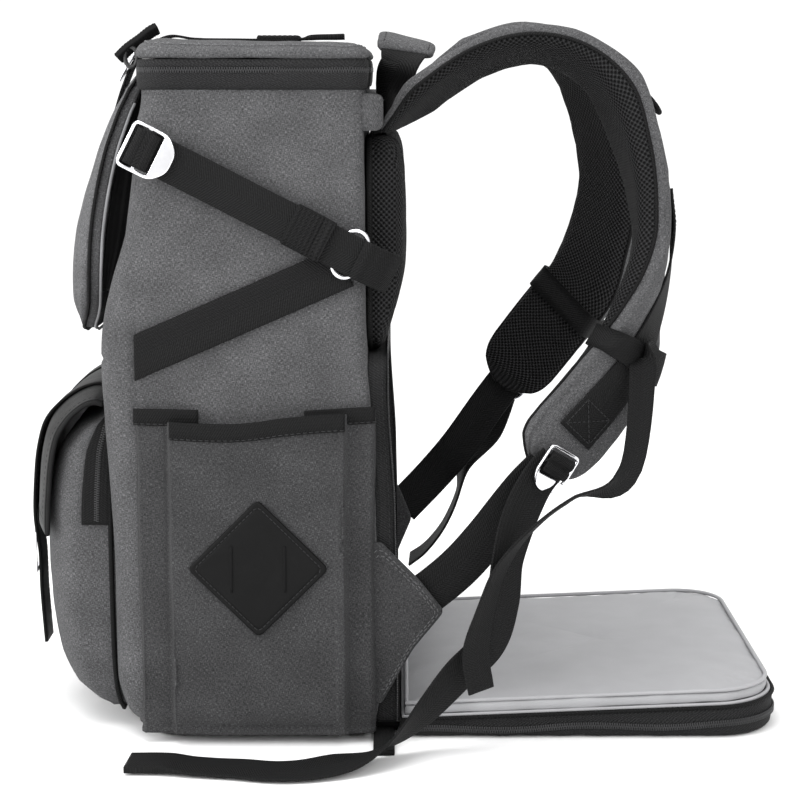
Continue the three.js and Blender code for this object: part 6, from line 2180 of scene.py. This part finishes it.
# side, back and height are shares of TAIL_REACH, HALF_DEPTH and STRAP_END_HEIGHT
TAIL_ROUTE = table(
    "side back height across wide layers",
    (0.04, 2.06, 0.85, (0.25, -0.95, 0.2), 0.85, 1),
    (0.2, 1.96, 0.7, (0.5, -0.85, 0.1), 0.85, 1),
    (0.24, 1.92, 0.54, (0.4, -0.9, 0.3), 0.85, 1),
    (0.26, 1.82, 0.4, (0.35, -0.7, 0.7), 0.9, 1),
    (0.28, 1.6, 0.29, (0.45, -0.5, 0.75), 0.95, 1),
    (0.34, 1.36, 0.16, (0.65, -0.3, 0.65), 1, 1),
    (0.56, 1.04, 0.06, (0.95, 0, 0.3), 1, 1),
    (0.76, 0.7, 0.03, (1, 0.1, -0.12), 1, 1),
    (0.84, 0.35, 0.02, (1, 0, -0.08), 1, 1),
    (0.76, 0.0, 0.018, (1, -0.1, -0.06), 1, 1),
    (0.7, -0.32, 0.018, (1, -0.1, -0.04), 1, 1),
    (0.66, -0.48, 0.022, (1, 0, 0), 1, 2.4),
    (0.64, -0.78, 0.02, (1, 0, 0), 1, 2.4),
)
# x, y and z are shares of STRAP_REACH from the left pad's foot
LEFT_TAIL_ROUTE = table(
    "x y z across",
    (0.11, -0.05, -0.20, (0.5, -0.6, 0.4)),
    (0.13, -0.15, -0.355, (1, -0.3, 0.2)),
    (0.14, -0.178, -0.5, (1, 0, 0)),
    (0.15, -0.235, -0.635, (1, 0, 0)),
    (0.17, -0.317, -0.745, (1, 0, 0.05)),
    (0.18, -0.38, -0.795, (1, 0, 0.1)),
)
# side is a share of TAIL_REACH, back and height of STRAP_REACH
CHEST_ROUTE = table(
    "side back height across wide",
    (-0.12, 0.93, -0.02, (0.6, -0.75, 0.2), 0.9),
    (0.2, 0.72, -0.08, (0.9, -0.3, 0.1), 1),
    (0.3, 0.57, -0.19, (0.95, -0.2, 0.2), 1),
    (0.38, 0.47, -0.32, (0.9, -0.4, 0.3), 1),
    (0.42, 0.42, -0.46, (0.8, -0.6, 0.1), 1),
    (0.42, 0.39, -0.6, (0.6, -0.8, 0.1), 1),
    (0.4, 0.41, -0.74, (0.5, -0.8, 0), 0.9),
)


def tail_stations():
    hanging = [
        station(
            (HALF_WIDTH + row["side"] * TAIL_REACH,
             row["back"] * HALF_DEPTH,
             row["height"] * STRAP_END_HEIGHT),
            row["across"], row["wide"] * SHOULDER_WEB, row["layers"] * WEB_THICKNESS,
        )
        for row in TAIL_ROUTE
    ]
    return tail_start(RIGHT_WEB) + hanging


def left_tail_stations():
    end = pad_place(LEFT_PAD_ROUTE[-1])
    hanging = [
        station(end + Vector((row["x"], row["y"], row["z"])) * STRAP_REACH, row["across"], SHOULDER_WEB)
        for row in LEFT_TAIL_ROUTE
    ]
    return tail_start(LEFT_WEB) + hanging


def chest_stations():
    frames = route_frames(pad_stations(RIGHT_PAD_ROUTE), LOOP_STEPS)
    seat_frame = frames[round(LOOP_ROW * LOOP_STEPS)]
    half = seat_frame["width"] / 2
    over = seat_frame["thick"] / 2 + 2 * WEB_THICKNESS + LOOP_WALL + WEB_THICKNESS / 2 + 0.0006
    start = []
    for inwards, share, wide in ((-0.5, 1.0, 0.5), (-0.15, 1.02, 0.806), (0.12, 1.1, 0.83)):
        spot = seat_frame["place"] + seat_frame["across"] * half * inwards + seat_frame["out"] * share * over
        start.append(station(spot, seat_frame["along"], CHEST_WEB * wide))
    hanging = [
        station(
            (HALF_WIDTH + row["side"] * TAIL_REACH,
             HALF_DEPTH + row["back"] * STRAP_REACH - HALF_DEPTH * 0.09,
             STRAP_END_HEIGHT + row["height"] * STRAP_REACH),
            row["across"], row["wide"] * CHEST_WEB,
        )
        for row in CHEST_ROUTE
    ]
    return start + hanging


def make_shoulder_webbing():
    for route, stations, name in ((RIGHT_PAD_ROUTE, RIGHT_WEB, "right"), (LEFT_PAD_ROUTE, LEFT_WEB, "left")):
        make_face_web(route, name)
        make_chest_loop(route, name)
        side = -1 if name == "left" else 1
        place(strip("lower_webbing_" + name, sided(stations, side), WEBBING, 10), "lower_web_" + name)
        seat_frame, facing, spot = buckle_seat(stations, WEB_THICKNESS / 2 + 2 * GAP)
        along = seat_frame["along"].lerp(BUCKLE_HANG, 0.75)
        facing = facing.lerp(BUCKLE_FACING, 0.6).normalized()
        seat = [on_side(v, side) for v in (spot + BUCKLE_SHIFT, along, facing)]
        rolls = buckle_rolls("shoulder_buckle_rolls_" + name, SHOULDER_WEB * 0.85, *seat)
        place(rolls, slot="lower_web_" + name)
        place(buckle("shoulder_buckle_metal_" + name, SHOULDER_WEB * 0.85, *seat), "shoulder_buckle_" + name)
    place(strip("tail_webbing_right", tail_stations(), WEBBING, 10), "tail_right")
    place(strip("tail_webbing_left", mirrored_stations(left_tail_stations()), WEBBING, 10), "tail_left")
    place(strip("chest_webbing", chest_stations(), WEBBING, 10), "chest_strap")
    low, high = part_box("base_strap_end")
    wide, thick = high[1] - low[1], 2 * WEB_THICKNESS
    base = [
        station((x, (low[1] + high[1]) / 2, layers * WEB_THICKNESS), (0, 1, 0), wide, thick)
        for x, layers in ((low[0], 1.5), ((low[0] + high[0]) / 2, 1.3), (high[0], 1.2))
    ]
    place(strip("base_webbing_end", base, WEBBING, 8), "base_strap_end")


make_shoulder_webbing()


# The lid's middle strap with its keeper, buckle and the zip's puller
LID_WEB = 0.024
LID_TOP = LID_HIGH[2] + LID_LIFT - 0.0002
LID_REST = LID_TOP + GAP + WEB_THICKNESS / 2
LID_WEB_ROUTE = table(
    "reach z wide layers",
    (1.06, FLAP_TOP - FLAP_HEIGHT * 0.16, 1, 1),
    (0.985, FLAP_TOP - FLAP_HEIGHT * 0.045, 1, 1),
    (0.9, LID_LOW[2] + 0.0013, 1, 1),
    (0.78, LID_LOW[2] + 0.01235, 1, 1),
    (0.62, LID_REST + WEB_THICKNESS, 1, 1),
    (0.42, LID_REST, 1, 1),
    (-0.42, LID_REST, 1, 1),
    (-0.48, LID_REST + WEB_THICKNESS / 2, 1, 2),
    (-0.74, LID_REST + WEB_THICKNESS, 1.3, 2.2),
)


def lid_stations():
    stations = []
    for row in LID_WEB_ROUTE:
        spot = (0, -row["reach"] * HALF_DEPTH, row["z"])
        stations.append(station(spot, (-1, 0, 0), row["wide"] * LID_WEB, row["layers"] * WEB_THICKNESS))
    return stations


def make_lid_strap():
    stations = lid_stations()
    place(strip("lid_webbing", stations, WEBBING, 8), "lid_strap")
    low, high = stations[1]["place"], stations[3]["place"]
    along = (low - high).normalized()
    facing = Vector((0, along.z, -along.y))
    spot = low.lerp(high, 0.6) + facing * (WEB_THICKNESS + 0.002)
    place(buckle("lid_buckle_metal", LID_WEB, spot, along, facing), "lid_buckle")
    keeper = [station((0, HALF_DEPTH * 0.23 + y, LID_REST), (-1, 0, 0), LID_WEB) for y in (-0.015, 0, 0.015)]
    place(sleeve("lid_keeper_web", route_frames(keeper, 16), 0.0014), "lid_keeper")


PULL_PLACES = [(-0.0830, 0.4533), (-0.0762, 0.4599), (-0.0680, 0.4658), (-0.0612, 0.4711), (-0.0565, 0.4737)]
PULL_START = 0.075
PULL_ACROSS = (0.75, -0.4, 0.5)
SLIDER_PLACE = Vector((0.0755, -0.0742, 0.4545))
SLIDER_DEEP = Vector((0, 0.0040, 0))
SLIDER_TALL = Vector((0, 0, 0.0066))
TAB_PLACE = Vector((0.085, 0.2750, 0.4235))
TAB_WIDE = Vector((0.011, 0, 0))
TAB_RUN = Vector((0, 0.0042, -0.0056))


def oval(centre, wide, tall):
    return [centre + wide * math.cos(a) + tall * math.sin(a) for a in turns(24)]


def make_pullers():
    """The lid zip's slider and ribbed pull at the near front corner, and a small ring tab on each pad."""
    pull = []
    for i, (y, z) in enumerate(PULL_PLACES):
        pull.append(station((PULL_START - 0.001 * i, y, z), PULL_ACROSS, 0.0062, 0.0028))
    place(sleeve("lid_zip_pull", route_frames(pull, 12), 0.0006, 0.0005, 0.0022, BLACK), slot="lid_zip_band")
    slider_ring = oval(SLIDER_PLACE, SLIDER_DEEP, SLIDER_TALL)
    slider = tube("lid_zip_slider", slider_ring, 0.0015, METAL_DARK, closed=True)
    place(slider, slot="lid_zip_band")
    for side, name in SIDES:
        tab_ring = oval(on_side(TAB_PLACE, side), TAB_WIDE, TAB_RUN)
        tab = tube("strap_ring_tab_" + name, tab_ring, 0.0017, BLACK, closed=True)
        place(tab, slot="shoulder_pad_" + name)


make_lid_strap()
make_pullers()


# The padded pieces' cloth, pushed out by their foam, with the rows and columns at their seams held
soften("flap_canvas", lambda r, c: c < 2 or c > 42 or r < 2 or r > 48, 0.002)
soften("lid_canvas", lambda r, c: r < 2, 0.0015)
soften("front_pocket_canvas", lambda r, c: c < 10 or c > 71 or r < 3 or r > 61, 0.002)
soften("back_pad_mesh", lambda r, c: r < 4, 0.002)
soften("door_pad_lining", lambda r, c: r < 5, 0.0018)
for pad_side in ("right", "left"):
    soften("shoulder_pad_cloth_" + pad_side, lambda r, c: r < 8 or c % 24 in (0, 1, 23), 0.0012)
let_cloth_settle()
make_lid_piping()
make_flap_stitches()
